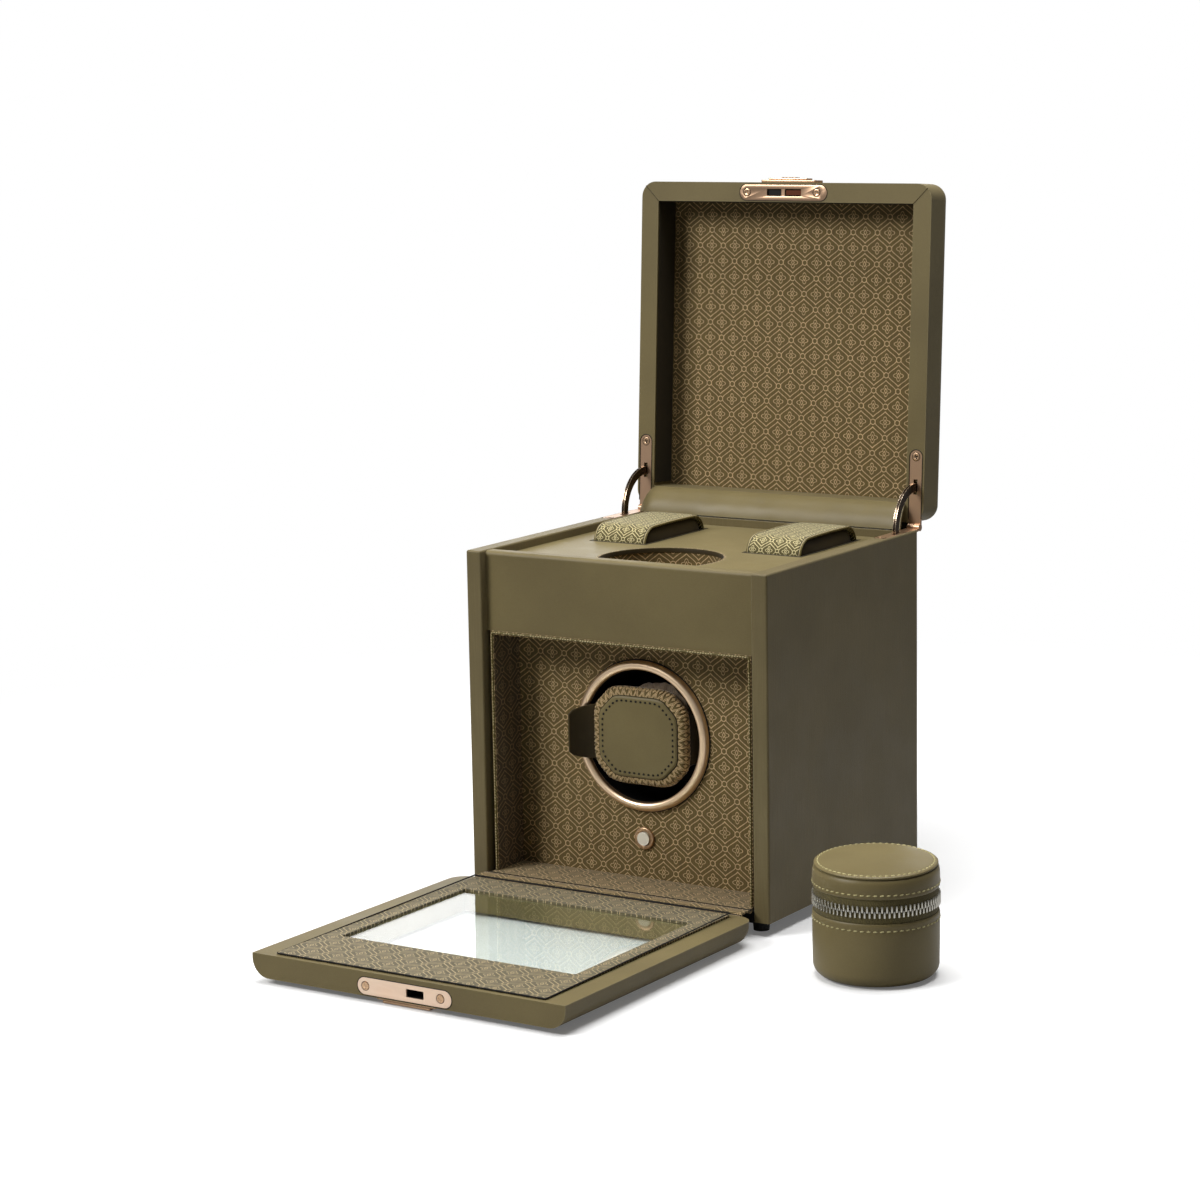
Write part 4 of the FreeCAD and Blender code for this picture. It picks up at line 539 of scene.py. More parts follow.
@dataclass(frozen=True)
class Jacquard(Finish):
    """Woven lining with a gold trellis."""

    name: str
    projection: Projection
    ground: str = "#6e5d33"
    shade: str = "#57482a"
    thread: str = "#d8b888"
    width: float = 16.5
    height: float = 19.0
    line: float = 0.31
    # Deep colour: painted shade for the lining's side walls.
    deep: str = "#241506"
    centre: tuple[float, float] = (0.0, 0.0)
    radius: float = 36.5

    def flat(self, graph: Graph) -> Signal:
        """Return the cloth's own two coordinates.

        Args:
            graph: The material's graph.

        Returns:
            The coordinates, in metres.
        """
        if self.projection is Projection.MAP:
            return graph.read(graph.node("UVMap", {"uv_map": "Cloth"}))
        spot = self.spot(graph)
        if self.projection in (Projection.LID, Projection.DOOR):
            swing = LID_SWING if self.projection is Projection.LID else DOOR_SWING
            centre = (0.0, swing.pivot_y * MM, swing.pivot_z * MM)
            back = graph.node("VectorRotate", {"rotation_type": "X_AXIS"}, Vector=spot, Center=centre,
                              Angle=-math.radians(swing.degrees))
            across, deep, up = graph.split(graph.read(back))
            return graph.join(across, deep if self.projection is Projection.LID else up)
        across, deep, up = graph.split(spot)
        if self.projection is Projection.WALL:
            return graph.join(across, up)
        facing = graph.read(graph.node("TexCoord"), "Normal")
        sideways, _, upward = (abs(part).apply("GREATER_THAN", 0.6) for part in graph.split(facing))
        if self.projection is Projection.WELL:
            out, back = across - self.centre[0] * MM, deep - self.centre[1] * MM
            around = back.apply("ARCTAN2", out) * (self.radius * MM)
            return graph.join(graph.choose(upward, around, across, "FLOAT"),
                              graph.choose(upward, up, deep, "FLOAT"))
        first = graph.choose(sideways, across, deep, "FLOAT")
        return graph.join(first, graph.choose(upward, up, deep, "FLOAT"))

    def build(self, effects: Effects) -> bpy.types.Material:
        """Build the material.

        Args:
            effects: The effects that finishes share.

        Returns:
            The material.
        """
        material, graph, shader = self.start()
        flat = self.flat(graph)
        lattice = graph.effect(effects.lattice, Vector=flat, Width=self.width * MM, Height=self.height * MM,
                               Line=self.line * MM, Unit=self.width / 16.5 * MM)
        weave = graph.effect(effects.weave, Vector=flat)
        line, threads, yarn = graph.read(lattice), graph.read(weave, "Height"), graph.read(weave, "Yarn")
        ground = graph.choose(threads * 0.55 + yarn * 0.45, linear(self.shade), linear(self.ground))
        gold = graph.choose(threads * 0.15, linear(self.thread), linear(self.ground))
        broken = line * (yarn * 0.35 + 0.65)
        base = graph.choose(broken, ground, gold)
        # The lining's side walls, facing along X, are mixed halfway toward the deep colour: painted shade.
        if self.projection is Projection.LINER:
            outward = graph.split(graph.read(graph.node("TexCoord"), "Normal"))[0]
            base = graph.choose(abs(outward).apply("GREATER_THAN", 0.6) * 0.5, base, linear(self.deep))
        graph.fill(shader, Base_Color=base, Roughness=line * -0.2 + 0.78,
                   Normal=graph.bump(threads + line * 0.5, 0.03 * MM, 0.7),
                   Sheen_Weight=0.25, Sheen_Roughness=0.45, Specular_IOR_Level=0.3)
        return material


@dataclass(frozen=True)
class Cloth(Finish):
    """Plain woven or velvety cloth."""

    name: str
    colour: str
    shade: str
    pitch: float = 0.45
    relief: float = 0.1
    nap: float = 0.35

    def build(self, effects: Effects) -> bpy.types.Material:
        """Build the material.

        Args:
            effects: The effects that finishes share.

        Returns:
            The material.
        """
        material, graph, shader = self.start()
        spot = self.spot(graph)
        across, deep, up = graph.split(spot)
        flat = graph.join(across + deep, up + deep * 0.5)
        weave = graph.effect(effects.weave, Vector=flat, Pitch=self.pitch * MM)
        threads, yarn = graph.read(weave, "Height"), graph.read(weave, "Yarn")
        marks = graph.effect(effects.handling, Vector=spot)
        tone = threads * 0.45 + yarn * 0.25 + graph.read(marks, "Smudge") * 0.3
        graph.fill(shader, Base_Color=graph.choose(tone, linear(self.shade), linear(self.colour)),
                   Roughness=yarn * 0.08 + 0.84, Normal=graph.bump(threads, self.relief * MM, 0.7),
                   Sheen_Weight=self.nap, Sheen_Roughness=0.5)
        return material


@dataclass(frozen=True)
class Metal(Finish):
    """Plated or brushed metal with soft handling marks; its edges take the worn-and-highlight colour, which
    on the dark bronze is a painted highlight.
    """

    name: str
    colour: str
    shade: str
    roughness: float = 0.28
    brush: tuple[float, float, float] = (1.0, 1.0, 1.0)
    relief: float = 0.006
    edge: float = 0.5
    worn_and_highlight: str = ""
    worn_and_highlight_share: float = 0.35

    def build(self, effects: Effects) -> bpy.types.Material:
        """Build the material.

        Args:
            effects: The effects that finishes share.

        Returns:
            The material.
        """
        material, graph, shader = self.start()
        spot = self.spot(graph)
        marks = graph.effect(effects.handling, Vector=spot)
        lines = graph.noise(graph.scaled(spot, *self.brush), 2600.0, 2.0)
        edge_mask = graph.read(graph.effect(effects.edge_mask, Radius=self.edge * MM))
        base = graph.choose(graph.read(marks, "Smudge") * 0.4, linear(self.colour), linear(self.shade))
        base = graph.choose(edge_mask * self.worn_and_highlight_share, base, linear(self.worn_and_highlight or self.colour))
        rough = graph.read(marks, "Smudge") * 0.06 + lines * 0.1 + (self.roughness - 0.05)
        graph.fill(shader, Base_Color=base, Roughness=rough, Metallic=1.0,
                   Normal=graph.bump(lines, self.relief * MM, 0.5))
        return material


@dataclass(frozen=True)
class Moulded(Finish):
    """Moulded plastic or rubber with a fine spark-eroded texture."""

    name: str
    colour: str
    shade: str
    roughness: float = 0.45
    relief: float = 0.012

    def build(self, effects: Effects) -> bpy.types.Material:
        """Build the material.

        Args:
            effects: The effects that finishes share.

        Returns:
            The material.
        """
        material, graph, shader = self.start()
        spot = self.spot(graph)
        marks = graph.effect(effects.handling, Vector=spot)
        smudge, haze = graph.read(marks, "Smudge"), graph.read(marks, "Haze")
        base = graph.choose(smudge * 0.6, linear(self.colour), linear(self.shade))
        texture = graph.noise(spot, 3200.0, 2.0) + haze * 0.4
        graph.fill(shader, Base_Color=base, Roughness=smudge * 0.1 + self.roughness,
                   Normal=graph.bump(texture, self.relief * MM, 0.6))
        return material


@dataclass(frozen=True)
class Pane(Finish):
    """Clear float glass that lets the lamps through."""

    name: str
    # Tint: the glass's own faint green, darkened further as painted shade for the floor seen through the
    # pane.
    tint: str = "#ebefec"

    def build(self, effects: Effects) -> bpy.types.Material:
        """Build the material.

        Args:
            effects: The effects that finishes share.

        Returns:
            The material.
        """
        material, graph, shader = self.start()
        marks = graph.effect(effects.handling, Vector=self.spot(graph))
        graph.fill(shader, Base_Color=linear(self.tint), Transmission_Weight=1.0, IOR=1.5,
                   Roughness=graph.read(marks, "Smudge") * 0.012,
                   Normal=graph.bump(graph.read(marks, "Haze"), 0.0004 * MM, 0.1))
        clear = graph.node("BsdfTransparent", None, Color=linear(self.tint))
        graph.put_out(graph.read(graph.node("LightPath"), "Is Shadow Ray"), shader, clear)
        return material


OLIVE = Leather("olive_calf", "#7a6d47", "#675b3b", "#8f8460")
OLIVE_PANEL = Leather("olive_calf_upright", "#786b49", "#64593b", "#8f8460", upright=0.8)
OLIVE_SMOOTH = Leather("olive_calf_smooth", "#7d7049", "#6b5f3d", "#948962", pebble=0.7, relief=0.02,
                       roughness=0.42)
DARK_CALF = Leather("dark_calf", "#3c3013", "#241b08", "#5e5228", relief=0.03, roughness=0.55)
TRIM = Leather("edge_piping", "#6a5e34", "#51471f", "#857a48", pebble=0.5, relief=0.02)
# Dark calf for painted shade in gaps, grooves and shadowed walls.
SHADOW_CALF = Leather("seam_calf", "#2b2410", "#1c1707", "#3d341a", relief=0.02, roughness=0.6)
WALL_CLOTH = Jacquard("trellis_wall", Projection.WALL)
LINER_CLOTH = Jacquard("trellis_liner", Projection.LINER)
WELL_CLOTH = Jacquard("trellis_well", Projection.WELL, centre=(0.0, -38.0))
LID_CLOTH = Jacquard("trellis_lid", Projection.LID)
# The door's trellis is a darker, greyer copy of the linings' colours: painted shade, with a greyer hue.
DOOR_CLOTH = Jacquard("trellis_door", Projection.DOOR, "#5e563a", "#4a4330", "#c8b286")
CUFF_CLOTH = Jacquard("trellis_cuff", Projection.MAP, "#6c6238", "#433b22", "#e6d8a0", 11.0, 13.0, 0.26)
FOLD_CLOTH = Jacquard("trellis_fold", Projection.MAP)
GATHER_CLOTH = Jacquard("trellis_gathered", Projection.MAP, width=5.5, height=15.0, line=0.3)
DARK_CLOTH = Cloth("dark_velvet", "#2a2114", "#17120b")
TAPE_CLOTH = Cloth("zip_tape_twill", "#6b6034", "#453d20", pitch=1.1, relief=0.2, nap=0.1)
THREAD = Cloth("gold_thread", "#ddd39a", "#8f8455", pitch=0.3, relief=0.05, nap=0.2)
FLECK = Cloth("cream_thread", "#e6d6a6", "#a8966a", pitch=0.3, relief=0.05, nap=0.2)
CRUMPLED = Cloth("crumpled_silk", "#b09a80", "#34291d", relief=0.05, nap=0.3)
CREASE = Cloth("crease_shadow", "#15100a", "#0a0704", pitch=0.3, relief=0.03, nap=0.0)
DARK_THREAD = Cloth("dark_thread", "#1d1b0e", "#100e07", pitch=0.3, relief=0.05, nap=0.05)
ROSE_GOLD = Metal("rose_gold_satin", "#c6a486", "#a08069", roughness=0.36, brush=(1.0, 0.05, 1.0))
ROSE_POLISHED = Metal("rose_gold_bright", "#d8b491", "#b58f6d", roughness=0.27)
# The drum ring's and the door plate's rose gold are lighter copies of the same metal: painted light for
# reflections they miss.
ROSE_RING_PAINTED_LIGHT = Metal("rose_gold_ring", "#f9dcb9", "#e3c09a", roughness=0.36, relief=0.003)
ROSE_PLATE_PAINTED_LIGHT = Metal("rose_gold_plate", "#fae0c8", "#ecccb0", roughness=0.5, brush=(1.0, 0.05, 1.0))
RED_BRONZE = Metal("red_bronze", "#5a3526", "#3b2219", roughness=0.45)
BLACKENED = Metal("blackened_steel", "#2a2826", "#1b1a19", roughness=0.5)
# The arms' edges turn fully near-white: painted highlight along their polished edges.
DARK_BRONZE = Metal("dark_bronze_polished", "#4a3c30", "#33281e", roughness=0.24, edge=0.8, worn_and_highlight="#f0dcc0",
                    worn_and_highlight_share=1.0)
STEEL = Metal("brushed_steel_plain", "#b9b9b4", "#8f8f8a", roughness=0.34, brush=(0.05, 1.0, 1.0))
BRIGHT_STEEL = Metal("zip_nickel", "#c3c0b6", "#918e84", roughness=0.27)
BLACK = Moulded("black_moulded", "#0b0b0b", "#141414", roughness=0.38)
RUBBER = Moulded("black_rubber_soft", "#141413", "#0c0c0c", roughness=0.7, relief=0.03)
MILKY = Moulded("milky_cap", "#e9e2d2", "#d8cfba", roughness=0.22, relief=0.004)
ACETAL = Moulded("white_acetal", "#dedbd0", "#c9c5b8", roughness=0.35)
BOARD = Moulded("board_green_lacquer", "#17472b", "#0f3520", roughness=0.3)
GLASS = Pane("clear_pane")

FINISHED_NODES: dict[Finish, tuple[str, ...]] = {
    OLIVE_PANEL: ("left_side_panel", "right_side_panel", "rear_panel"),
    OLIVE: ("header_panel", "hinge_gusset", "lid_shell", "door_frame"),
    BLACK: ("base_board", "ceiling_board", "module_housing", "dc_jack", "button_switch", "drum_cup",
            "door_keeper"),
    RUBBER: ("feet",),
    LINER_CLOTH: ("recess_lining", "door_hinge_strip"),
    WALL_CLOTH: ("winder_panel",),
    ROSE_RING_PAINTED_LIGHT: ("bezel_ring",),
    OLIVE_SMOOTH: ("tray_board", "case_base", "case_lid"),
    WELL_CLOTH: ("tray_well",),
    DARK_CLOTH: ("cuff_wells", "cuff_core", "case_cushion"),
    ACETAL: ("bearing_bush", "drive_gear", "motor_pinion"),
    STEEL: ("motor_bracket", "gearmotor", "machine_screws", "drum_shaft", "button_spring"),
    BOARD: ("control_board",),
    ROSE_POLISHED: ("button_bezel", "lid_screws", "lid_thumb_slide", "door_screws", "door_pull"),
    ROSE_GOLD: ("body_hinge_plates", "hinge_pins", "lid_lock_plate", "lid_hinge_plates",
                "lid_escutcheon", "door_lock_plate"),
    MILKY: ("button_cap",),
    GATHER_CLOTH: ("cuff_pad",),
    DARK_CALF: ("cuff_wings", "left_storage_cuff", "right_storage_cuff"),
    DARK_BRONZE: ("stay_arms",),
    LID_CLOTH: ("lid_lining",),
    BLACKENED: ("lid_lock_case",),
    RED_BRONZE: ("lid_bolt",),
    DOOR_CLOTH: ("door_lining",),
    GLASS: ("door_glass",),
    TAPE_CLOTH: ("lower_zip_tape", "upper_zip_tape"),
    BRIGHT_STEEL: ("zip_slider",),
}
NODE_FINISHES = {name: finish for finish, names in FINISHED_NODES.items() for name in names}


def circle(radius: float, count: int, centre: Spot = (0.0, 0.0)) -> list[Spot]:
    """Return the points of a circle."""
    turns = [TAU * index / count for index in range(count)]
    return [(centre[0] + radius * math.cos(t), centre[1] + radius * math.sin(t)) for t in turns]


def arc(radius: float, centre: Spot, start: float, sweep: float, steps: int) -> list[Spot]:
    """Return the points of a part of a circle.

    Args:
        radius: The circle's radius.
        centre: Its middle.
        start: The angle of the first point, in degrees.
        sweep: How far it turns on from there, in degrees.
        steps: The number of steps.

    Returns:
        One point more than there are steps.
    """
    turns = [math.radians(start + sweep * step / steps) for step in range(steps + 1)]
    return [(centre[0] + radius * math.cos(t), centre[1] + radius * math.sin(t)) for t in turns]


def rounded_box(left: float, right: float, low: float, high: float, radius: float, steps: int) -> list[Spot]:
    """Return the outline of a rectangle with round corners, anticlockwise.

    Args:
        left: Its least X.
        right: Its greatest X.
        low: Its least Y.
        high: Its greatest Y.
        radius: The radius of its corners.
        steps: The number of steps round each corner.

    Returns:
        The outline's points.
    """
    middle_x, middle_y = (left + right) / 2, (low + high) / 2
    points = []
    for x, y, start in ((right, high, 0.0), (left, high, 90.0), (left, low, 180.0), (right, low, 270.0)):
        centre = (x - math.copysign(radius, x - middle_x), y - math.copysign(radius, y - middle_y))
        points += arc(radius, centre, start, 90.0, steps)
    return points


def cross_shape(arm: float, width: float) -> list[Spot]:
    """Return the outline of a cross-head recess.

    Args:
        arm: How far each arm reaches from the middle.
        width: The width of an arm.

    Returns:
        The outline's points.
    """
    half = width / 2
    points = []
    for turn in range(4):
        cosine, sine = math.cos(turn * QUARTER), math.sin(turn * QUARTER)
        points += [(x * cosine - y * sine, x * sine + y * cosine)
                   for x, y in ((arm, -half), (arm, half), (half, half))]
    return points


def travelled(points: Sequence[Spot]) -> list[float]:
    """Return how far a line has run at each of its points.

    Args:
        points: The line.

    Returns:
        The lengths, from nothing.
    """
    runs = [0.0]
    for (x0, y0), (x1, y1) in zip(points, points[1:]):
        runs.append(runs[-1] + math.hypot(x1 - x0, y1 - y0))
    return runs


def sample_path(points: Sequence[Vector], spacing: float,
                closed: bool = False) -> list[tuple[Vector, Vector]]:
    """Return evenly spaced places on a path, each with the path's direction there.

    Args:
        points: The path, in metres.
        spacing: The wanted distance between places, made to fit the path's whole length.
        closed: Whether the path ends where it starts.

    Returns:
        Pairs of place and unit direction.
    """
    track = list(points) + ([points[0]] if closed else [])
    lengths = [(b - a).length for a, b in zip(track, track[1:])]
    total = sum(lengths)
    count = max(2, round(total / spacing))
    places = []
    for index in range(count):
        goal = total * (index + 0.5) / count
        for start, end, length in zip(track, track[1:], lengths):
            if goal <= length or end is track[-1]:
                share = min(1.0, goal / max(length, LEAST_LENGTH))
                places.append((start.lerp(end, share), (end - start).normalized()))
                break
            goal -= length
    return places


class Workshop:
    """Makes meshes, dresses them and hangs them on their bodies."""

    def __init__(self) -> None:
        """Build the shared effects; each finish is built when it is first used."""
        self.effects = Effects()
        self.built: dict[str, bpy.types.Material] = {}

    def material(self, finish: Finish) -> bpy.types.Material:
        """Return a finish's material, building it once."""
        if finish.name not in self.built:
            self.built[finish.name] = finish.build(self.effects)
        return self.built[finish.name]

    def dress_nodes(self) -> None:
        """Give every CAD node its material."""
        for name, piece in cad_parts.items():
            for slot in piece.material_slots:
                slot.material = self.material(NODE_FINISHES[name])

    def place(self, name: str, mesh: bpy.types.Mesh, body: str | None, finishes: Sequence[Finish], slot: str,
              replaces: Sequence[str] = (), smooth: float | None = 40.0) -> bpy.types.Object:
        """Make an object of a mesh.

        Args:
            name: The piece's name.
            mesh: Its mesh, in metres in the row's frame.
            body: The body that it rides on, or None for a piece that joins two.
            finishes: One finish for each material index of the mesh.
            slot: The name of a material slot; not used.
            replaces: The CAD nodes that it stands for.
            smooth: The angle in degrees above which an edge stays sharp, or None for flat faces.

        Returns:
            The piece.
        """
        mesh.name = name
        piece = bpy.data.objects.new(name, mesh)
        bpy.context.scene.collection.objects.link(piece)
        for finish in finishes:
            mesh.materials.append(self.material(finish))
        if smooth is not None:
            mesh.shade_smooth()
            mesh.set_sharp_from_angle(angle=math.radians(smooth))
        if body:
            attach(piece, body)
        if replaces:
            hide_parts(*replaces)
        log.info("%s: %d faces on %s", name, len(mesh.polygons), body or "two bodies")
        return piece


def make_mesh(points: Sequence[Vector], faces: Sequence[Sequence[int]],
              maps: Sequence[Sequence[Spot]] | None = None,
              marks: Sequence[int] | None = None) -> bpy.types.Mesh:
    """Return a mesh.

    Args:
        points: Its vertices, in metres.
        faces: The vertex numbers of each face.
        maps: The cloth coordinates of each face's corners, in metres.
        marks: Each face's material index.

    Returns:
        The mesh.
    """
    mesh = bpy.data.meshes.new("form")
    mesh.from_pydata([tuple(point) for point in points], [], [tuple(face) for face in faces])
    if marks is not None:
        mesh.polygons.foreach_set("material_index", list(marks))
    if maps is not None:
        layer = mesh.uv_layers.new(name="Cloth")
        flat = [value for corners in maps for corner in corners for value in corner]
        layer.data.foreach_set("uv", flat)
    mesh.validate()
    mesh.update()
    return mesh


def grid(rows: Sequence[Sequence[Vector]], wrap: bool = False,
         chart: Callable[[int, int], Spot] | None = None, marks: Callable[[int], int] | None = None,
         ends: bool = False) -> bpy.types.Mesh:
    """Return a mesh of four-sided faces over rows of points.

    Args:
        rows: Rows of equally many points, in metres.
        wrap: Whether each row closes on itself.
        chart: The cloth coordinates at a row and a column; a wrapped row has one column more.
        marks: The material index of the faces after a row.
        ends: Whether the first and last row are closed with one face each.

    Returns:
        The mesh.
    """
    width = len(rows[0])
    points = [point for row in rows for point in row]
    faces, maps, kinds = [], [], []
    for row in range(len(rows) - 1):
        for column in range(width if wrap else width - 1):
            after = (column + 1) % width
            faces.append((row * width + column, row * width + after, (row + 1) * width + after,
                          (row + 1) * width + column))
            kinds.append(marks(row) if marks else 0)
            if chart:
                maps.append([chart(row, column), chart(row, column + 1), chart(row + 1, column + 1),
                             chart(row + 1, column)])
    if ends:
        for row, order in ((0, -1), (len(rows) - 1, 1)):
            faces.append([row * width + column for column in range(width)][::order])
            kinds.append(marks(min(row, len(rows) - 2)) if marks else 0)
            if chart:
                maps.append([chart(row, column) for column in range(width)][::order])
    return make_mesh(points, faces, maps if chart else None, kinds)


def slab(top: Sequence[Sequence[Vector]], under: Sequence[Sequence[Vector]],
         chart: Callable[[int, int], Spot] | None = None) -> bpy.types.Mesh:
    """Return a closed solid between two equal grids of points.

    Args:
        top: Rows of the upper face.
        under: Rows of the lower face.
        chart: The cloth coordinates at a row and a column.

    Returns:
        The mesh.
    """
    height, width = len(top), len(top[0])
    points = [point for rows in (top, under) for row in rows for point in row]
    lower = height * width
    cells = [(row, column) for row in range(height - 1) for column in range(width - 1)]
    rim = [(0, c) for c in range(width)] + [(r, width - 1) for r in range(1, height)]
    rim += [(height - 1, c) for c in range(width - 2, -1, -1)] + [(r, 0) for r in range(height - 2, 0, -1)]
    faces, maps = [], []

    def add(corners: Sequence[tuple[int, int, int]]) -> None:
        """Add a face from (layer, row, column) corners."""
        faces.append([layer * lower + row * width + column for layer, row, column in corners])
        maps.append([chart(row, column) if chart else (0.0, 0.0) for _, row, column in corners])

    for row, column in cells:
        quad = [(row, column), (row, column + 1), (row + 1, column + 1), (row + 1, column)]
        add([(0, r, c) for r, c in quad])
        add([(1, r, c) for r, c in quad[::-1]])
    for here, after in zip(rim, rim[1:] + rim[:1]):
        add([(0, *after), (0, *here), (1, *here), (1, *after)])
    mesh = make_mesh(points, faces, maps if chart else None)
    weld(mesh)
    return mesh


def lathe(profile: Sequence[Spot], centre: Spot, segments: int,
          marks: Callable[[int], int] | None = None) -> bpy.types.Mesh:
    """Return a turned solid about an upright line.

    Args:
        profile: Radius and height of each point, in millimetres, going up the outside.
        centre: The line's place in X and Y.
        segments: The number of steps round.
        marks: The material index of the faces after each point.

    Returns:
        The mesh.
    """
    turns = [TAU * index / segments for index in range(segments)]
    rows = [
        [mm(centre[0] + r * math.cos(t), centre[1] + r * math.sin(t), z) for t in turns]
        for r, z in profile
    ]
    runs = travelled(profile)
    widest = max(r for r, _ in profile)

    def chart(row: int, column: int) -> Spot:
        """Return the cloth coordinates round and up the profile."""
        return TAU * column / segments * widest * MM, runs[row] * MM

    mesh = grid(rows, wrap=True, chart=chart, marks=marks)
    weld(mesh)
    return mesh


def weld(mesh: bpy.types.Mesh) -> None:
    """Merge points that lie together and turn all faces outwards.

    Args:
        mesh: The mesh, which is changed.
    """
    work = bmesh.new()
    work.from_mesh(mesh)
    bmesh.ops.remove_doubles(work, verts=work.verts, dist=WELD_DISTANCE)
    bmesh.ops.recalc_face_normals(work, faces=work.faces)
    work.to_mesh(mesh)
    work.free()


def tube(path: Sequence[Vector], radius: float, sides: int, closed: bool = False) -> bpy.types.Mesh:
    """Return a round cord along a path.

    Args:
        path: Its middle line, in metres.
        radius: Its radius in millimetres.
        sides: The number of points round it.
        closed: Whether it ends where it starts.

    Returns:
        The mesh.
    """
    count = len(path)
    normal = None
    rows = []
    for index, place in enumerate(path):
        before = path[(index - 1) % count] if closed or index else place
        after = path[(index + 1) % count] if closed or index < count - 1 else place
        direction = (after - before).normalized()
        if normal is None:
            normal = direction.orthogonal()
        normal = (normal - direction * normal.dot(direction)).normalized()
        other = direction.cross(normal)
        rows.append([
            place + (normal * math.cos(TAU * s / sides) + other * math.sin(TAU * s / sides)) * (radius * MM)
            for s in range(sides)
        ])
    if closed:
        rows.append(rows[0])
    mesh = grid(rows, wrap=True, ends=not closed)
    weld(mesh)
    return mesh


def stitches(places: Iterable[tuple[Vector, Vector]], length: float, radius: float,
             lean: float = 0.0, up: Callable[[Vector], Vector] | None = None) -> bpy.types.Mesh:
    """Return a row of short plump threads in one mesh.

    Args:
        places: The middle of each stitch and the seam's direction there.
        length: The stitch's length in millimetres.
        radius: The thread's radius in millimetres.
        lean: How far each stitch turns off the seam, in degrees.
        up: The surface's outward direction at a place.

    Returns:
        The mesh.
    """
    points: list[Vector] = []
    faces: list[list[int]] = []
    rings, sides = (-1.0, -0.72, 0.0, 0.72, 1.0), 6
    for place, direction in places:
        out = up(place) if up else UPWARD
        along = (direction - out * direction.dot(out)).normalized()
        along = (Matrix.Rotation(math.radians(lean), 3, out) @ along).normalized()
        side = out.cross(along)
        start = len(points)
        for share in rings:
            reach = radius * MM * (1.0 - 0.55 * share**4) * (0.35 if abs(share) == 1.0 else 1.0)
            sink = radius * MM * 0.75 * abs(share) ** 3
            middle = place + along * (share * length / 2 * MM) - out * sink
            points += [
                middle + (side * math.cos(TAU * s / sides) + out * math.sin(TAU * s / sides)) * reach
                for s in range(sides)
            ]
        for ring in range(len(rings) - 1):
            for step in range(sides):
                after = (step + 1) % sides
                low, high = start + ring * sides, start + (ring + 1) * sides
                faces.append([low + step, low + after, high + after, high + step])
        last = start + (len(rings) - 1) * sides
        faces.append([start + step for step in range(sides)][::-1])
        faces.append([last + step for step in range(sides)])
    return make_mesh(points, faces)


def plate(outline: Sequence[Spot], holes: Sequence[Sequence[Spot]], thick: float, bevel: float,
          pose: Matrix) -> bpy.types.Mesh:
    """Return a flat plate with holes and softly broken edges.

    Args:
        outline: Its outer edge, in millimetres.
        holes: The edges of its holes.
        thick: Its thickness; it lies from nothing to this height.
        bevel: The width of its broken edges.
        pose: Where it goes, in metres.

    Returns:
        The mesh.
    """
    work = bmesh.new()
    edges = []
    for loop in (outline, *holes):
        corners = [work.verts.new((x * MM, y * MM, 0.0)) for x, y in loop]
        edges += [work.edges.new((a, b)) for a, b in zip(corners, corners[1:] + corners[:1])]
    bmesh.ops.triangle_fill(work, use_beauty=True, use_dissolve=True, edges=edges)
    raised = bmesh.ops.extrude_face_region(work, geom=list(work.faces))
    top = [item for item in raised["geom"] if isinstance(item, bmesh.types.BMVert)]
    bmesh.ops.translate(work, verts=top, vec=(0.0, 0.0, thick * MM))
    bmesh.ops.recalc_face_normals(work, faces=work.faces)
    work.edges.ensure_lookup_table()
    sharp = [
        edge for edge in work.edges
        if len(edge.link_faces) == 2 and edge.calc_face_angle(0.0) > BROKEN_EDGE
        and abs(edge.verts[0].co.z - edge.verts[1].co.z) < LEAST_LENGTH
    ]
    if bevel > 0.0:
        bmesh.ops.bevel(work, geom=sharp, offset=bevel * MM, segments=2, profile=0.5, affect="EDGES",
                        clamp_overlap=True)
    mesh = finished(work)
    mesh.transform(pose)
    mesh.update()
    return mesh


def finished(work: bmesh.types.BMesh) -> bpy.types.Mesh:
    """Make a mesh of a worked form.

    Args:
        work: The form, which is freed.

    Returns:
        The mesh.
    """
    mesh = bpy.data.meshes.new("form")
    work.to_mesh(mesh)
    work.free()
    return mesh


def joined(meshes: Sequence[bpy.types.Mesh]) -> bpy.types.Mesh:
    """Join several meshes, keeping their maps and material indices.

    Args:
        meshes: The meshes.

    Returns:
        One mesh.
    """
    work = bmesh.new()
    for mesh in meshes:
        work.from_mesh(mesh)
    return finished(work)


def cross_head(radius: float, rise: float, pose: Matrix) -> bpy.types.Mesh:
    """Return a low screw head with a cross recess.

    Args:
        radius: The head's radius in millimetres.
        rise: How far it stands up.
        pose: Where it goes: the head stands up along its Z.

    Returns:
        The mesh; the floor under the cross has material index 1.
    """
    cross = cross_shape(radius * 0.62, radius * 0.24)
    rim = plate(circle(radius, 32), [cross], rise, rise * 0.45, pose)
    floor = plate(circle(radius * 1.14, 24), [], rise * 0.25, 0.0, pose)
    floor.polygons.foreach_set("material_index", [1] * len(floor.polygons))
    return joined([rim, floor])


def facing(place: tuple[float, float, float], direction: Sequence[float], turn: float = 0.0) -> Matrix:
    """Return a pose whose Z looks along a direction.

    Args:
        place: Where it is, in millimetres.
        direction: Where its Z looks.
        turn: How far it is turned about its Z, in degrees.

    Returns:
        The pose, in metres.
    """
    quarter = Vector(direction).to_track_quat("Z", "Y").to_matrix().to_4x4()
    return Matrix.Translation(Vector(place) * MM) @ quarter @ Matrix.Rotation(math.radians(turn), 4, "Z")


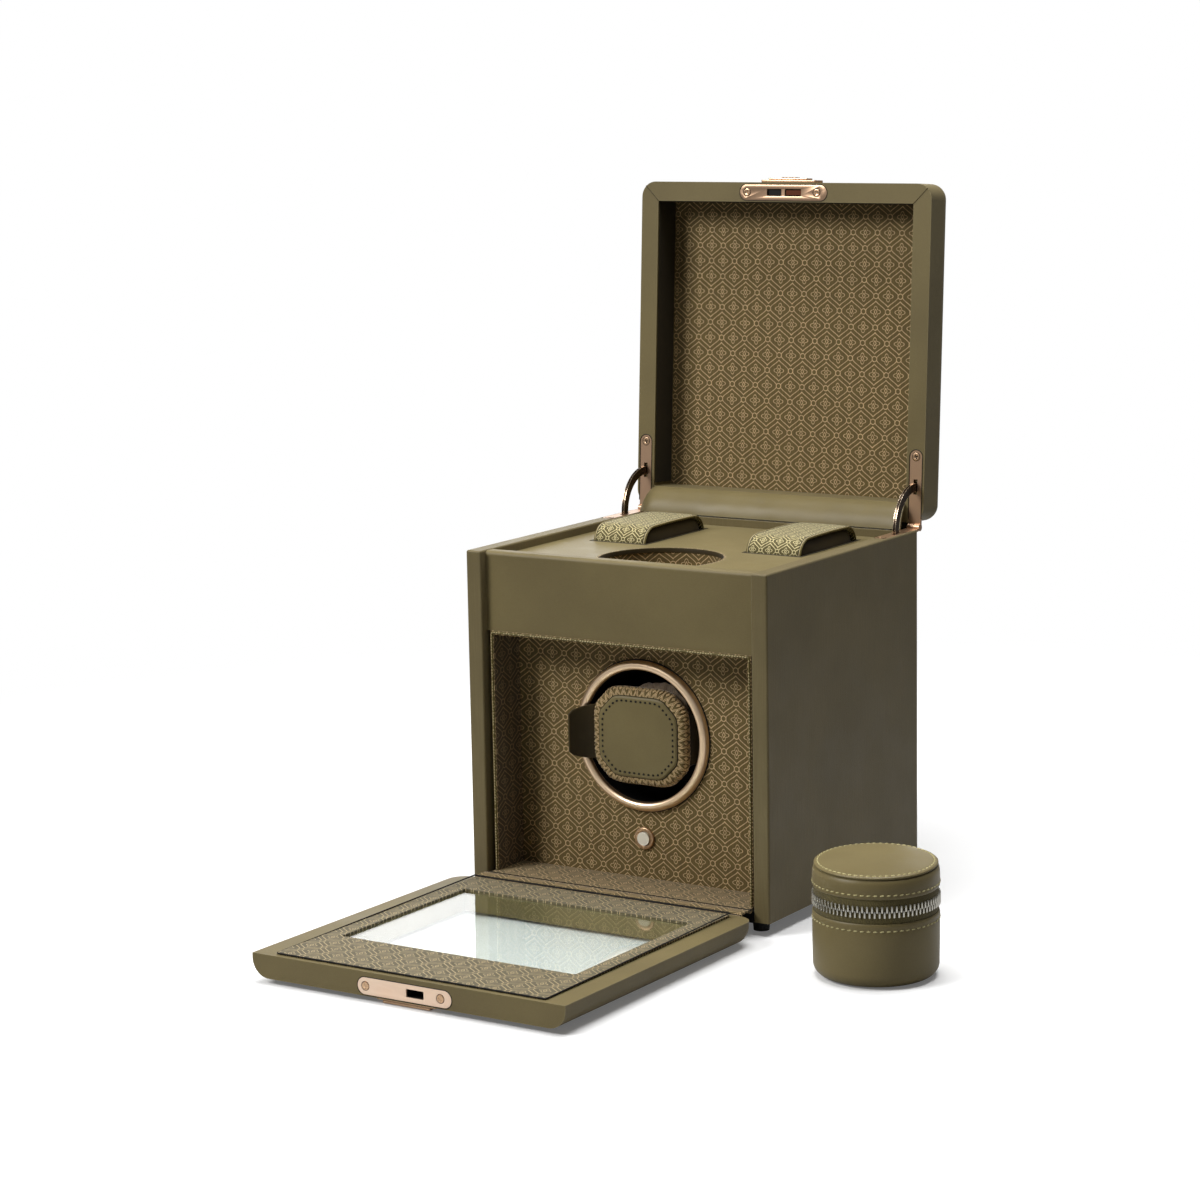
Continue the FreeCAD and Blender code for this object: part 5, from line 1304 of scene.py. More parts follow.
def puffed(mesh: bpy.types.Mesh, voxel: float, pressure: float, cap: float) -> bpy.types.Mesh:
    """Let a closed form swell as stuffed cloth does, and return it smoother.

    Args:
        mesh: The form, a little smaller than the finished pad, in metres.
        voxel: The size of its new faces, in millimetres.
        pressure: The pressure inside it.
        cap: How far a point may move, in millimetres.

    Returns:
        The swollen mesh, made smoother.
    """
    piece = bpy.data.objects.new("pad_form", mesh)
    scene = bpy.context.scene
    scene.collection.objects.link(piece)
    remesh = piece.modifiers.new("Even", "REMESH")
    remesh.mode = "VOXEL"
    remesh.voxel_size = voxel * MM
    settle(piece)
    before = [vertex.co.copy() for vertex in piece.data.vertices]
    cloth = piece.modifiers.new("Stuffing", "CLOTH")
    cloth.settings.quality = CLOTH_QUALITY
    cloth.settings.mass = CLOTH_MASS
    cloth.settings.use_pressure = True
    cloth.settings.uniform_pressure_force = pressure
    cloth.settings.effector_weights.gravity = 0.0
    cloth.collision_settings.use_collision = False
    for step in range(1, CLOTH_FRAMES + 1):
        scene.frame_set(step)
    settle(piece)
    scene.frame_set(1)
    for vertex, start in zip(piece.data.vertices, before):
        moved = vertex.co - start
        if moved.length > cap * MM:
            vertex.co = start + moved.normalized() * cap * MM
    smoother = piece.modifiers.new("Finer", "SUBSURF")
    smoother.levels = 1
    settle(piece)
    result = piece.data
    bpy.data.objects.remove(piece)
    return result


def settle(piece: bpy.types.Object) -> None:
    """Apply every modifier of a piece to its mesh.

    Args:
        piece: The piece, which is changed.
    """
    bpy.context.view_layer.update()
    shaped = piece.evaluated_get(bpy.context.evaluated_depsgraph_get())
    mesh = bpy.data.meshes.new_from_object(shaped)
    piece.modifiers.clear()
    piece.data = mesh


@dataclass
class Casing:
    """The leather casing's trim, folds and small fittings."""

    workshop: Workshop
    lining_half: float = 86.1
    lining_front: float = -86.6
    header_low: float = 157.6
    floor_z: float = 14.3
    trim_radius: float = 0.62
    hinge_x: float = 94.3
    hinge_screw_y: float = 56.0
    wall_top: float = 204.6
    strip_half: float = 89.2
    gusset_half: float = 86.6
    gusset_flare: float = 4.2
    gusset_low: Spot = (85.9, 205.0)
    gusset_high: Spot = (98.85, 219.25)
    gusset_bulge: float = 22.0
    gusset_thick: float = 1.2
    fold_rear: float = -91.3
    fold_front: float = -105.9
    fold_top: float = 14.25
    fold_low: float = 13.15
    fold_sag: float = 0.9
    crease_inset: float = 1.7
    tray_top: float = 199.6
    well_centre: Spot = (0.0, -38.0)
    well_radius: float = 36.5
    slot_middle: float = 52.5
    slot_half: float = 18.2
    slot_ends: Spot = (-0.2, 70.2)
    slot_border: float = 1.7
    drum_z: float = 98.7
    spring_wire: float = 0.3
    spring_turns: int = 5
    spring_keep: float = 0.6

    def edge_trim(self) -> None:
        """Fabric piping along the lining's front edges, flecked where gold threads cross it."""
        half, y = self.lining_half, self.lining_front - 0.15
        top, low, turn = self.header_low - 0.95, self.floor_z + 0.4, 1.4
        left = [(-half, low), (-half, top - turn), (-half + turn, top)]
        path = [mm(x, y, z) for x, z in [*left, *((-x, z) for x, z in reversed(left))]]
        fine = [path[0].lerp(path[1], t / 30) for t in range(30)]
        fine += [path[1], path[1].lerp(path[2], 0.5) + mm(-0.3, 0, 0.3)]
        fine += [path[2].lerp(path[3], t / 36) for t in range(36)]
        fine += [path[3], path[3].lerp(path[4], 0.5) + mm(0.3, 0, 0.3)]
        fine += [path[4].lerp(path[5], t / 30) for t in range(31)]
        self.workshop.place("recess_piping", tube(fine, self.trim_radius, 10), "casing", [TRIM],
                            "lining_fabric")
        draw = random.Random(7)
        flecks = [
            (place + mm(0, -self.trim_radius * 0.85, 0), direction)
            for place, direction in sample_path(fine, 1.7 * MM) if draw.random() < 0.85
        ]
        mesh = stitches(flecks, 1.2, 0.33, lean=18.0, up=lambda _: FORWARD)
        self.workshop.place("recess_flecks", mesh, "casing", [FLECK], "lining_fabric")

    def fold_strip(self) -> None:
        """Patterned fabric over the fold between the recess floor and the open door."""
        rear, front, top = self.fold_rear, self.fold_front, self.fold_top
        columns, steps = 61, 41
        rows = []
        for step in range(steps):
            share = step / (steps - 1)
            y = rear + (front - rear) * share
            crease = math.exp(-(((abs(share - 0.5) - 0.38) / 0.05) ** 2))
            level = top - self.fold_sag * (crease - math.sin(math.pi * share))
            rows.append([mm(self.strip_half * (2 * c / (columns - 1) - 1), y, level) for c in range(columns)])
        under = [[point - mm(0, 0, top - self.fold_low) for point in row] for row in rows]

        def chart(row: int, column: int) -> Spot:
            """Return X and Y as the recess floor's cloth has them."""
            return rows[row][column].x, rows[row][column].y

        mesh = slab(rows, under, chart)
        piece = self.workshop.place("fold_strip", mesh, None, [FOLD_CLOTH], "lining_fabric",
                                    ["door_hinge_strip"])
        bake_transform(piece)
        # Dark cords in the two creases: painted shade where the fabric folds in.
        for name, body, y, z in (("fold_crease_rear", "casing", rear - self.crease_inset, top + 0.05),
                                 ("fold_crease_front", "door", front + self.crease_inset, top - 0.3)):
            path = [mm(self.strip_half * (t / 10 - 1), y, z) for t in range(21)]
            self.workshop.place(name, tube(path, self.trim_radius, 8), body, [CREASE], "lining_fabric")

    def gusset(self) -> None:
        """Soft leather roll over the lid's hinge line, with faint pulls at its ends."""
        low, high, bulge = self.gusset_low, self.gusset_high, self.gusset_bulge
        chord = Vector((high[0] - low[0], high[1] - low[1]))
        middle = (Vector(low) + Vector(high)) / 2
        side = Vector((-chord.y, chord.x)).normalized()
        depth = math.sqrt(bulge**2 - (chord.length / 2) ** 2)
        centre = middle - side * depth
        start = math.atan2(low[1] - centre.y, low[0] - centre.x)
        end = math.atan2(high[1] - centre.y, high[0] - centre.x)
        if end - start > math.pi:
            end -= TAU
        if start - end > math.pi:
            end += TAU
        columns, steps = 91, 15
        rows = []
        for layer in (0.0, self.gusset_thick):
            band = []
            for step in range(steps):
                share = step / (steps - 1)
                turn = start + (end - start) * share
                swell = math.sin(share * math.pi)
                wide = self.gusset_half + self.gusset_flare * (1.0 - share) ** 0.5
                line = []
                for column in range(columns):
                    across = 2 * column / (columns - 1) - 1
                    pull = 0.35 * swell * noise.noise(Vector((across * 9, share * 1.4, 3.1)))
                    ends = 0.9 * max(0.0, abs(across) - 0.93) / 0.07 * swell
                    reach = bulge + 0.6 * swell + pull - ends - layer
                    line.append(mm(across * wide, centre.x + reach * math.cos(turn),
                                   centre.y + reach * math.sin(turn)))
                band.append(line)
            rows.append(band)
        piece = self.workshop.place("lid_gusset", slab(*rows), None, [OLIVE_SMOOTH], "olive_leather",
                                    ["hinge_gusset"])
        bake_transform(piece)

    def tray_edges(self) -> None:
        """Turned edge of the tray's round well in dark leather, and dark borders round its two cuff slots:
        painted shade where the tray turns down into the well and in the gaps round the cuffs.
        """
        rim, top = self.well_radius, self.tray_top
        profile = [(rim, top + 0.05), (rim - 0.3, top), (rim - 0.45, top - 0.5), (rim - 0.4, top - 2.6),
                   (rim, top - 2.8), (rim, top + 0.05)]
        # The well's turned edge is the tray's leather drawn in dark calf: painted shade.
        self.workshop.place("well_edge", lathe(profile, self.well_centre, 128), "casing", [DARK_CALF],
                            "olive_leather")
        borders = []
        for side in Side:
            middle = side.value * self.slot_middle
            outer, inner = (
                rounded_box(middle - self.slot_half - wide, middle + self.slot_half + wide,
                            self.slot_ends[0] - wide, self.slot_ends[1] + wide, 0.8, 3)
                for wide in (self.slot_border, 0.0)
            )
            # Dark border round each slot: painted shade in the gap round the cuff.
            borders.append(plate(outer, [inner], 0.3, 0.1, shift(0, 0, top - 0.1)))
        self.workshop.place("cuff_slot_edges", joined(borders), "casing", [SHADOW_CALF], "dark_fabric")

    def bezel(self) -> None:
        """Rose-gold ring round the drum's opening, gently crowned, with a dark cord of painted shade outside
        it.
        """
        profile = [(38.95, 60.0), (38.95, 62.5), (39.3, 63.3), (40.1, 63.95), (41.2, 64.2), (42.5, 63.95),
                   (43.5, 63.2), (44.15, 62.1), (44.4, 61.0), (44.4, 60.0), (38.95, 60.0)]
        mesh = lathe(profile, (0.0, 0.0), 160)
        turn = shift(0.0, 0.0, self.drum_z) @ Matrix.Rotation(QUARTER, 4, "X")
        mesh.transform(turn)
        self.workshop.place("drum_bezel", mesh, "casing", [ROSE_RING_PAINTED_LIGHT], "rose_gold", ["bezel_ring"])
        # Dark cord outside the ring: painted shade in the gap round it.
        path = [turn @ mm(x, y, 60.2) for x, y in circle(44.65, 120)]
        self.workshop.place("bezel_seam", tube(path, 0.34, 6, closed=True), "casing", [CREASE], "dark_fabric")

    def return_spring(self) -> None:
        """Coil spring behind the button's cap."""
        low, high = (Vector(corner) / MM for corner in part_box("button_spring"))
        wire, steps = self.spring_wire, self.spring_turns * 20
        radius, length = (high.x - low.x) / 2 - wire, high.y - low.y - 2 * wire
        middle = (low + high) / 2
        path = []
        for step in range(steps + 1):
            turn = TAU * self.spring_turns * step / steps
            path.append(mm(middle.x + radius * math.cos(turn), low.y + wire + length * step / steps,
                           middle.z + radius * math.sin(turn)))
        piece = self.workshop.place("return_spring", tube(path, wire, 8), "casing", [STEEL], "steel",
                                    ["button_spring"])
        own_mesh(piece)

    def hinge_screws(self) -> None:
        """Cross-head screws of the casing's hinge plates."""
        heads = []
        for side in Side:
            place = (side.value * self.hinge_x, self.hinge_screw_y, self.wall_top)
            heads.append(cross_head(2.35, 0.22, facing(place, (0, 0, 1), 20.0 * side.value)))
        self.workshop.place("casing_hinge_heads", joined(heads), "casing", [ROSE_POLISHED, BLACKENED],
                            "rose_gold")

    def build(self) -> None:
        """Make every piece of the casing."""
        self.edge_trim()
        self.fold_strip()
        self.gusset()
        self.tray_edges()
        self.bezel()
        self.return_spring()
        self.hinge_screws()


@dataclass
class WindingCuff:
    """The watch cuff in the drum: gathered band, leather patch, wrapped core and two wings."""

    workshop: Workshop
    axis_z: float = 98.7
    front: float = -66.0
    rear: float = -59.0
    half_width: float = 31.6
    half_height: float = 28.6
    corner: float = 12.0
    patch_half_width: float = 26.0
    patch_half_height: float = 23.4
    patch_corner: float = 10.5
    patch_ease: float = 0.2
    folds: int = 88
    cloth_length: float = 245.0
    core_half_width: float = 25.0
    core_half_height: float = 23.0
    core_corner: float = 6.0
    core_length: float = 41.6
    wing_thick: float = 1.7

    def octagon(self, half_width: float, half_height: float, corner: float, count: int,
                ease: float = 0.26) -> list[Spot]:
        """Return a soft octagon's points, evenly spaced.

        Args:
            half_width: Half of its width.
            half_height: Half of its height.
            corner: How far each cut corner reaches.
            count: The number of points.
            ease: The share of each side that is curved.

        Returns:
            The points.
        """
        w, h, c = half_width, half_height, corner
        corners = [(w, -h + c), (w, h - c), (w - c, h), (-w + c, h), (-w, h - c), (-w, -h + c), (-w + c, -h),
                   (w - c, -h)]
        ring = [Vector((x, y, 0.0)) for x, y in corners]
        rounded = []
        for index, corner_point in enumerate(ring):
            before, after = ring[index - 1], ring[(index + 1) % len(ring)]
            start, end = corner_point.lerp(before, ease), corner_point.lerp(after, ease)
            for step in range(9):
                t = step / 8
                rounded.append(start.lerp(corner_point, t).lerp(corner_point.lerp(end, t), t))
        return [(p.x, p.y) for p, _ in sample_path(rounded, self.perimeter(rounded) / count, closed=True)]

    def perimeter(self, ring: Sequence[Vector]) -> float:
        """Return a closed ring's length."""
        return sum((b - a).length for a, b in zip(ring, [*ring[1:], ring[0]]))

    def ring(self, inset: float, y: float, gather: float, count: int, phase: float) -> list[Vector]:
        """Return one gathered ring of the band.

        Args:
            inset: How far it lies inside the band's widest line.
            y: Its place from front to rear.
            gather: The height of its gathers.
            count: The number of points.
            phase: How far the gathers are turned.

        Returns:
            The ring, in metres.
        """
        base = self.octagon(self.half_width - inset, self.half_height - inset, self.corner - inset * 0.45,
                            count)
        points = []
        for index, (x, z) in enumerate(base):
            turn = TAU * index / count
            wave = math.sin(self.folds * turn + 1.3 * math.sin(5 * turn) + phase)
            wave *= 0.6 + 0.4 * math.sin(11 * turn + 2.0)
            out = Vector((x, 0.0, z)).normalized()
            points.append((Vector((x, y, z + self.axis_z)) + (out + FORWARD) * gather * wave) * MM)
        return points

    def band(self) -> None:
        """Patterned band, gathered round the pad's edge."""
        count = 720
        front, rear = self.front, self.rear
        section = [(3.2, rear, 0.05), (1.2, rear + 0.1, 0.12), (0.25, rear - 0.9, 0.2),
                   (0.0, rear - 2.4, 0.26), (0.35, rear - 4.2, 0.28), (1.3, front + 1.15, 0.26),
                   (2.6, front + 0.45, 0.2), (4.2, front + 0.2, 0.14), (6.2, front + 0.35, 0.06),
                   (8.0, front + 0.8, 0.0)]
        rows = [self.ring(inset, y, gather, count, 0.25 * index)
                for index, (inset, y, gather) in enumerate(section)]
        runs = travelled([(inset, y) for inset, y, _ in section])

        def chart(row: int, column: int) -> Spot:
            """Return the cloth coordinates: it is a third longer than the edge that it is gathered on."""
            return column / count * self.cloth_length * MM, runs[row] * MM

        shell = grid(rows, wrap=True, chart=chart, ends=True)
        piece = self.workshop.place("cuff_band", shell, "winding_cuff", [GATHER_CLOTH], "lining_fabric",
                                    ["cuff_pad"])

    def patch(self) -> None:
        """Leather patch with its crown and its dark stitching; its middle is left plain."""
        w, h, c = self.patch_half_width, self.patch_half_height, self.patch_corner
        base = self.front + 0.4

        def ring(width: float, height: float, corner: float, count: int, proud: float) -> list[Vector]:
            """Return a level ring of the patch, in metres."""
            flat = self.octagon(width, height, corner, count, self.patch_ease)
            return [mm(x, base - proud, z + self.axis_z) for x, z in flat]

        rows = [
            ring(w - inset, h - inset * h / w, c - inset * 0.4, 240, proud)
            for inset, proud in ((0.0, 0.0), (-0.25, 0.55), (0.2, 1.05), (1.0, 1.3), (2.6, 1.2), (6.0, 1.45),
                                 (11.0, 1.65), (17.0, 1.75))
        ]
        self.workshop.place("cuff_patch", grid(rows, wrap=True, ends=True), "winding_cuff", [OLIVE_SMOOTH],
                            "olive_leather")
        seam = sample_path(ring(w - 2.3, h - 2.3, c - 0.9, 400, 1.2), 3.2 * MM, closed=True)
        self.workshop.place("patch_stitching", stitches(seam, 1.75, 0.72, up=lambda _: FORWARD),
                            "winding_cuff", [DARK_THREAD], "dark_fabric")
        # Dark cord round the patch's edge: painted shade in the gap under the raised patch.
        edge = ring(w + 0.3, h + 0.3, c, 200, 0.15)
        self.workshop.place("patch_welt", tube(edge, 0.42, 8, closed=True), "winding_cuff", [SHADOW_CALF],
                            "dark_fabric")

    def core(self) -> None:
        """Wrapped core behind the pad, its dark cloth loosely crumpled."""
        count, steps = 240, 60
        rows = []
        for step in range(steps + 1):
            share = step / steps
            y = self.rear + 0.2 + self.core_length * share
            inset = 1.2 + 1.6 * (2 * share - 1) ** 4
            outline = self.octagon(self.core_half_width - inset, self.core_half_height - inset,
                                   self.core_corner, count)
            row = []
            for x, z in outline:
                out = Vector((x, 0.0, z)).normalized()
                fold = noise.noise(Vector((x * 0.16, y * 0.11, z * 0.16))) * 1.6
                fold += noise.noise(Vector((x * 0.45, y * 0.3, z * 0.45))) * 0.7
                fade = math.sin(math.pi * min(1.0, max(0.0, share * 1.15)))
                turn = math.degrees(math.atan2(z, x))
                flare = 10.0 * math.exp(-((turn - 70.0) / 44.0) ** 2 - ((y + 54.5) / 5.5) ** 2)
                crumple = 1.0 + 0.35 * noise.noise(Vector((x * 0.26, y * 0.45, z * 0.26)))
                reach = fold * fade - 0.4 + flare * crumple
                row.append((Vector((x, y, z + self.axis_z)) + out * reach) * MM)
            rows.append(row)
        piece = self.workshop.place("cuff_core_wrap", grid(rows, wrap=True, ends=True), "winding_cuff",
                                    [CRUMPLED], "dark_fabric", ["cuff_core"])

    def wing(self, plan: Sequence[Spot], heights: Spot) -> bpy.types.Mesh:
        """Return a tapered flexible tab.

        Args:
            plan: Three points of its middle line seen from above, in millimetres.
            heights: Its height at the root and at the tip.

        Returns:
            The mesh.
        """
        root, bend, tip = (Vector((x, y, 0.0)) for x, y in plan)
        steps, thick = 18, self.wing_thick
        curve = [root.lerp(bend, t).lerp(bend.lerp(tip, t), t) for t in (s / steps for s in range(steps + 1))]
        rows = []
        for index, place in enumerate(curve):
            direction = (curve[min(index + 1, steps)] - curve[max(index - 1, 0)]).normalized()
            side = Vector((direction.y, -direction.x, 0.0))
            share = index / steps
            tall = heights[0] + (heights[1] - heights[0]) * share**2.2
            ease = 1.0 - 0.1 * max(0.0, share - 0.9) / 0.1
            outline = rounded_box(-thick / 2, thick / 2, -tall / 2 * ease, tall / 2 * ease, thick * 0.42, 4)
            rows.append([(place + side * u + Vector((0, 0, v + self.axis_z))) * MM for u, v in outline])
        return grid(rows, wrap=True, ends=True)

    def wings(self) -> None:
        """The two side wings that hold the watch strap."""
        left = self.wing([(-29.6, -60.9), (-36.5, -64.0), (-42.2, -74.0)], (32.5, 25.0))
        right = self.wing([(26.0, -57.6), (31.5, -54.5), (36.9, -45.4)], (31.0, 20.5))
        self.workshop.place("cuff_side_wings", joined([left, right]), "winding_cuff", [DARK_CALF],
                            "dark_fabric", ["cuff_wings"])

    def build(self) -> None:
        """Make the cuff."""
        self.core()
        self.band()
        self.patch()
        self.wings()


@dataclass
class StorageCuff:
    """One padded cuff in the tray: a stuffed body, a patterned band over it and piped edges."""

    workshop: Workshop
    side: Side
    centre_x: float = 52.5
    half_width: float = 18.0
    front: float = 0.0
    rear: float = 70.0
    low: float = 162.7
    top: float = 209.5
    corner: float = 11.0
    crown: float = 0.35
    stuffing_voxel: float = 2.6
    stuffing_pressure: float = 4.0
    stuffing_cap: float = 0.8

    @property
    def middle(self) -> float:
        """Return the cuff's middle in X."""
        return self.side.value * self.centre_x

    @property
    def label(self) -> str:
        """Return the cuff's body, which also begins its pieces' names."""
        return f"{self.side.name.lower()}_cuff"

    def profile(self, inset: float, steps: int = 10) -> list[Spot]:
        """Return the band's line from the front's foot over the top to the rear's foot.

        Args:
            inset: How far it lies inside the band's outer face.
            steps: The number of steps in each corner.

        Returns:
            The line's points in Y and Z.
        """
        front, rear, top, radius = self.front + inset, self.rear - inset, self.top - inset, self.corner
        points = [(front, self.low + share * (top - radius - self.low) / 8) for share in range(8)]
        points += [
            (front + radius - radius * math.cos(t), top - radius + radius * math.sin(t))
            for t in (math.pi / 2 * s / steps for s in range(steps + 1))
        ]
        across = rear - front - 2 * radius
        points += [
            (front + radius + across * s / 14, top + self.crown * math.sin(math.pi * s / 14))
            for s in range(1, 14)
        ]
        points += [
            (rear - radius + radius * math.sin(t), top - radius + radius * math.cos(t))
            for t in (math.pi / 2 * s / steps for s in range(steps + 1))
        ]
        points += [(rear, self.low + share * (top - radius - self.low) / 8) for share in range(7, -1, -1)]
        return points

    def body(self) -> None:
        """Stuffed dark body, swollen by simulation between the band's edges."""
        half = self.half_width - 1.0
        rows = [
            [mm(self.middle + x, y, z) for y, z in self.profile(1.9)]
            for x in (-half, -half * 0.5, 0.0, half * 0.5, half)
        ]
        mesh = puffed(grid(rows, wrap=True, ends=True), self.stuffing_voxel, self.stuffing_pressure,
                      self.stuffing_cap)
        piece = self.workshop.place(f"{self.label}_body", mesh, self.label, [DARK_CALF], "dark_fabric",
                                    [f"{self.side.name.lower()}_storage_cuff"])

    def band(self) -> None:
        """Patterned band over the front, the top and the rear."""
        outer, inner = self.profile(0.15), self.profile(1.6)
        columns = 25
        half = self.half_width - 0.5
        runs = travelled(outer)
        centre = Vector(((self.front + self.rear) / 2, self.top - self.corner - 14))
        layers = []
        for line, lift in ((outer, 1.0), (inner, 0.0)):
            rows = []
            for y, z in line:
                out = (Vector((y, z)) - centre).normalized()
                row = []
                for column in range(columns):
                    across = 2 * column / (columns - 1) - 1
                    rise = (self.crown * (1 - across**2) - 0.5 * max(0.0, abs(across) - 0.86) / 0.14) * lift
                    row.append(mm(self.middle + across * half, y + out.x * rise, z + out.y * rise))
                rows.append(row)
            layers.append(rows)

        def chart(row: int, column: int) -> Spot:
            """Return the cloth coordinates across the band and along it."""
            return (2 * column / (columns - 1) - 1) * half * MM, runs[row] * MM

        self.workshop.place(f"{self.label}_band", slab(*layers, chart), self.label, [CUFF_CLOTH],
                            "lining_fabric")

    def piping(self) -> None:
        """Thin piping along both edges of the band."""
        for kind, finish, reach, inset, radius in (
            ("piping", TRIM, 0.35, 0.75, 0.5),
            ("cord", FLECK, 0.95, 0.4, 0.24),
            ("welt", DARK_THREAD, 1.45, 0.35, 0.22),
        ):
            meshes = []
            for edge in (-1, 1):
                x = self.middle + edge * (self.half_width - reach)
                meshes.append(tube([mm(x, y, z) for y, z in self.profile(inset)], radius, 8))
            self.workshop.place(f"{self.label}_{kind}", joined(meshes), self.label, [finish], "lining_fabric")

    def build(self) -> None:
        """Make the cuff."""
        self.body()
        self.band()
        self.piping()


@dataclass
class Fittings:
    """Rose-gold lock plates, catch, pull and screws of lid and door, and painted shade cords round the lock
    plates and the door lining.
    """

    workshop: Workshop
    lock_half: float = 30.0
    lock_width: float = 9.3
    lock_y: float = -99.2
    plate_thick: float = 1.2
    slot_height: float = 4.4
    screws: tuple[float, float] = (-25.0, 23.0)
    rim_z: float = 205.1
    door_top: float = 204.5
    lid_front: float = -105.3
    door_outer: float = -104.7
    hinge_x: float = 94.3
    hinge_screw_y: float = 56.0
    plate_bevel: float = 0.28
    screw_radius: float = 2.25
    screw_rise: float = 0.42
    catch_height: float = 10.0
    pull_height: float = 11.0
    ridges: tuple[float, ...] = (-4.5, -2.25, 0.0, 2.25, 4.5)

    def upright(self, swing: Swing, y: float) -> Matrix:
        """Return the pose of a plate that stands facing the front of the closed lid or door."""
        return swing.matrix() @ shift(0, y, 0) @ Matrix.Rotation(QUARTER, 4, "X")

    def stadium(self, left: float, right: float, width: float) -> list[Spot]:
        """Return a full-round bar's outline about the lock's middle line."""
        return rounded_box(left, right, -width / 2, width / 2, width / 2 * 0.999, 10)

    def lock_plates(self) -> None:
        """Both lock plates, with their slots and screw seats, and a dark ring of painted shade round each
        plate.
        """
        seats = [circle(2.6, 32, (x, 0.0)) for x in self.screws]
        half = self.slot_height / 2
        slots = [rounded_box(1.3, 12.4, -half, half, 0.5, 3), rounded_box(-11.2, -1.2, -half, half, 0.5, 3)]
        outline = self.stadium(-self.lock_half, self.lock_half, self.lock_width)
        lid_level, door_level = self.rim_z - 0.12, self.door_top - self.plate_thick + 0.12
        for name, body, swing, level, cuts, finish in (
            ("lid_plate", "lid", LID_SWING, lid_level, slots, ROSE_GOLD),
            ("door_plate", "door", DOOR_SWING, door_level, slots[:1], ROSE_PLATE_PAINTED_LIGHT),
        ):
            pose = swing.matrix() @ shift(0, self.lock_y, level)
            mesh = plate(outline, [*cuts, *seats], self.plate_thick, self.plate_bevel, pose)
            self.workshop.place(name, mesh, body, [finish], "rose_gold", [f"{body}_lock_plate"])
        # Dark cords round the plates: painted shade in the groove round each.
        rim = self.stadium(-self.lock_half - 0.25, self.lock_half + 0.25, self.lock_width + 0.5)
        for name, body, swing, level in (("lid_plate_seat", "lid", LID_SWING, self.rim_z - 0.02),
                                         ("door_plate_seat", "door", DOOR_SWING, self.door_top + 0.02)):
            path = [swing.matrix() @ mm(x, y + self.lock_y, level) for x, y in rim]
            self.workshop.place(name, tube(path, 0.26, 6, closed=True), body, [SHADOW_CALF], "dark_fabric")
        back = LID_SWING.matrix() @ shift(0, self.lock_y, self.rim_z + 1.15)
        mesh = plate(rounded_box(-12.6, -0.4, -half - 0.9, half + 0.9, 0.5, 3), [], 0.3, 0.0, back)
        self.workshop.place("lid_slot_back", mesh, "lid", [BLACKENED], "steel")

    def screw_heads(self) -> None:
        """Cross-head screws in the lock plates and the lid's hinge plates."""
        heads: dict[str, list[bpy.types.Mesh]] = {"lid": [], "door": []}
        for index, x in enumerate(self.screws):
            for body, swing, level, out in (("lid", LID_SWING, self.rim_z + 0.2, -1),
                                            ("door", DOOR_SWING, self.door_top - 0.2, 1)):
                pose = swing.matrix() @ facing((x, self.lock_y, level), (0, 0, out), 25.0 + 40.0 * index)
                heads[body].append(cross_head(self.screw_radius, self.screw_rise, pose))
        for side in Side:
            place = (side.value * self.hinge_x, self.hinge_screw_y, self.rim_z)
            heads["lid"].append(cross_head(2.35, 0.22, LID_SWING.matrix() @ facing(place, (0, 0, -1), 15.0)))
        for body, meshes in heads.items():
            self.workshop.place(f"{body}_screw_heads", joined(meshes), body, [ROSE_POLISHED, BLACKENED],
                                "rose_gold")

    def catch(self) -> None:
        """The lid's catch plate and the thumb slide on it, with its finger ridge."""
        low = self.rim_z + 4.0
        high = low + self.catch_height
        mesh = plate(rounded_box(-17.9, 20.0, low, high, 1.2, 4), [], 1.6, 0.35,
                     self.upright(LID_SWING, self.lid_front))
        self.workshop.place("catch_plate", mesh, "lid", [ROSE_GOLD], "rose_gold", ["lid_escutcheon"])
        parts = [plate(rounded_box(-13.7, 13.5, low + 1.5, high - 1.5, 0.9, 4), [], 1.0, 0.3,
                       self.upright(LID_SWING, self.lid_front - 1.7))]
        ridge = self.upright(LID_SWING, self.lid_front - 2.5)
        parts += [
            plate(rounded_box(x - 0.45, x + 0.45, low + 2.2, high - 2.2, 0.4, 3), [], 0.75, 0.25, ridge)
            for x in self.ridges
        ]
        self.workshop.place("thumb_slide", joined(parts), "thumb_slide", [ROSE_POLISHED], "rose_gold",
                            ["lid_thumb_slide"])

    def pull(self) -> None:
        """The door's stepped pull."""
        top = self.door_top - 1.7
        low = top - self.pull_height
        parts = [
            plate(rounded_box(left, right, low, top, 0.8, 4), [], thick, bevel, self.upright(DOOR_SWING, y))
            for left, right, thick, bevel, y in ((-19.2, 18.5, 1.2, 0.3, self.door_outer),
                                                 (-15.5, 14.8, 1.5, 0.4, self.door_outer - 1.2))
        ]
        self.workshop.place("door_pull_bar", joined(parts), "door", [ROSE_POLISHED], "rose_gold",
                            ["door_pull"])

    def lining_shade_line(self) -> None:
        """Dark cord round the door lining's outer edge: painted shade along the step at its edge."""
        low, high = (Vector(corner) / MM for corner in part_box("door_lining"))
        outline = rounded_box(low.x - 0.2, high.x + 0.2, low.y - 0.2, high.y + 0.2, 0.8, 3)
        path = [mm(x, y, high.z - 0.45) for x, y in outline]
        self.workshop.place("door_lining_seam", tube(path, 0.42, 8, closed=True), "door", [CREASE],
                            "lining_fabric")

    def build(self) -> None:
        """Make every fitting."""
        self.lining_shade_line()
        self.lock_plates()
        self.screw_heads()
        self.catch()
        self.pull()


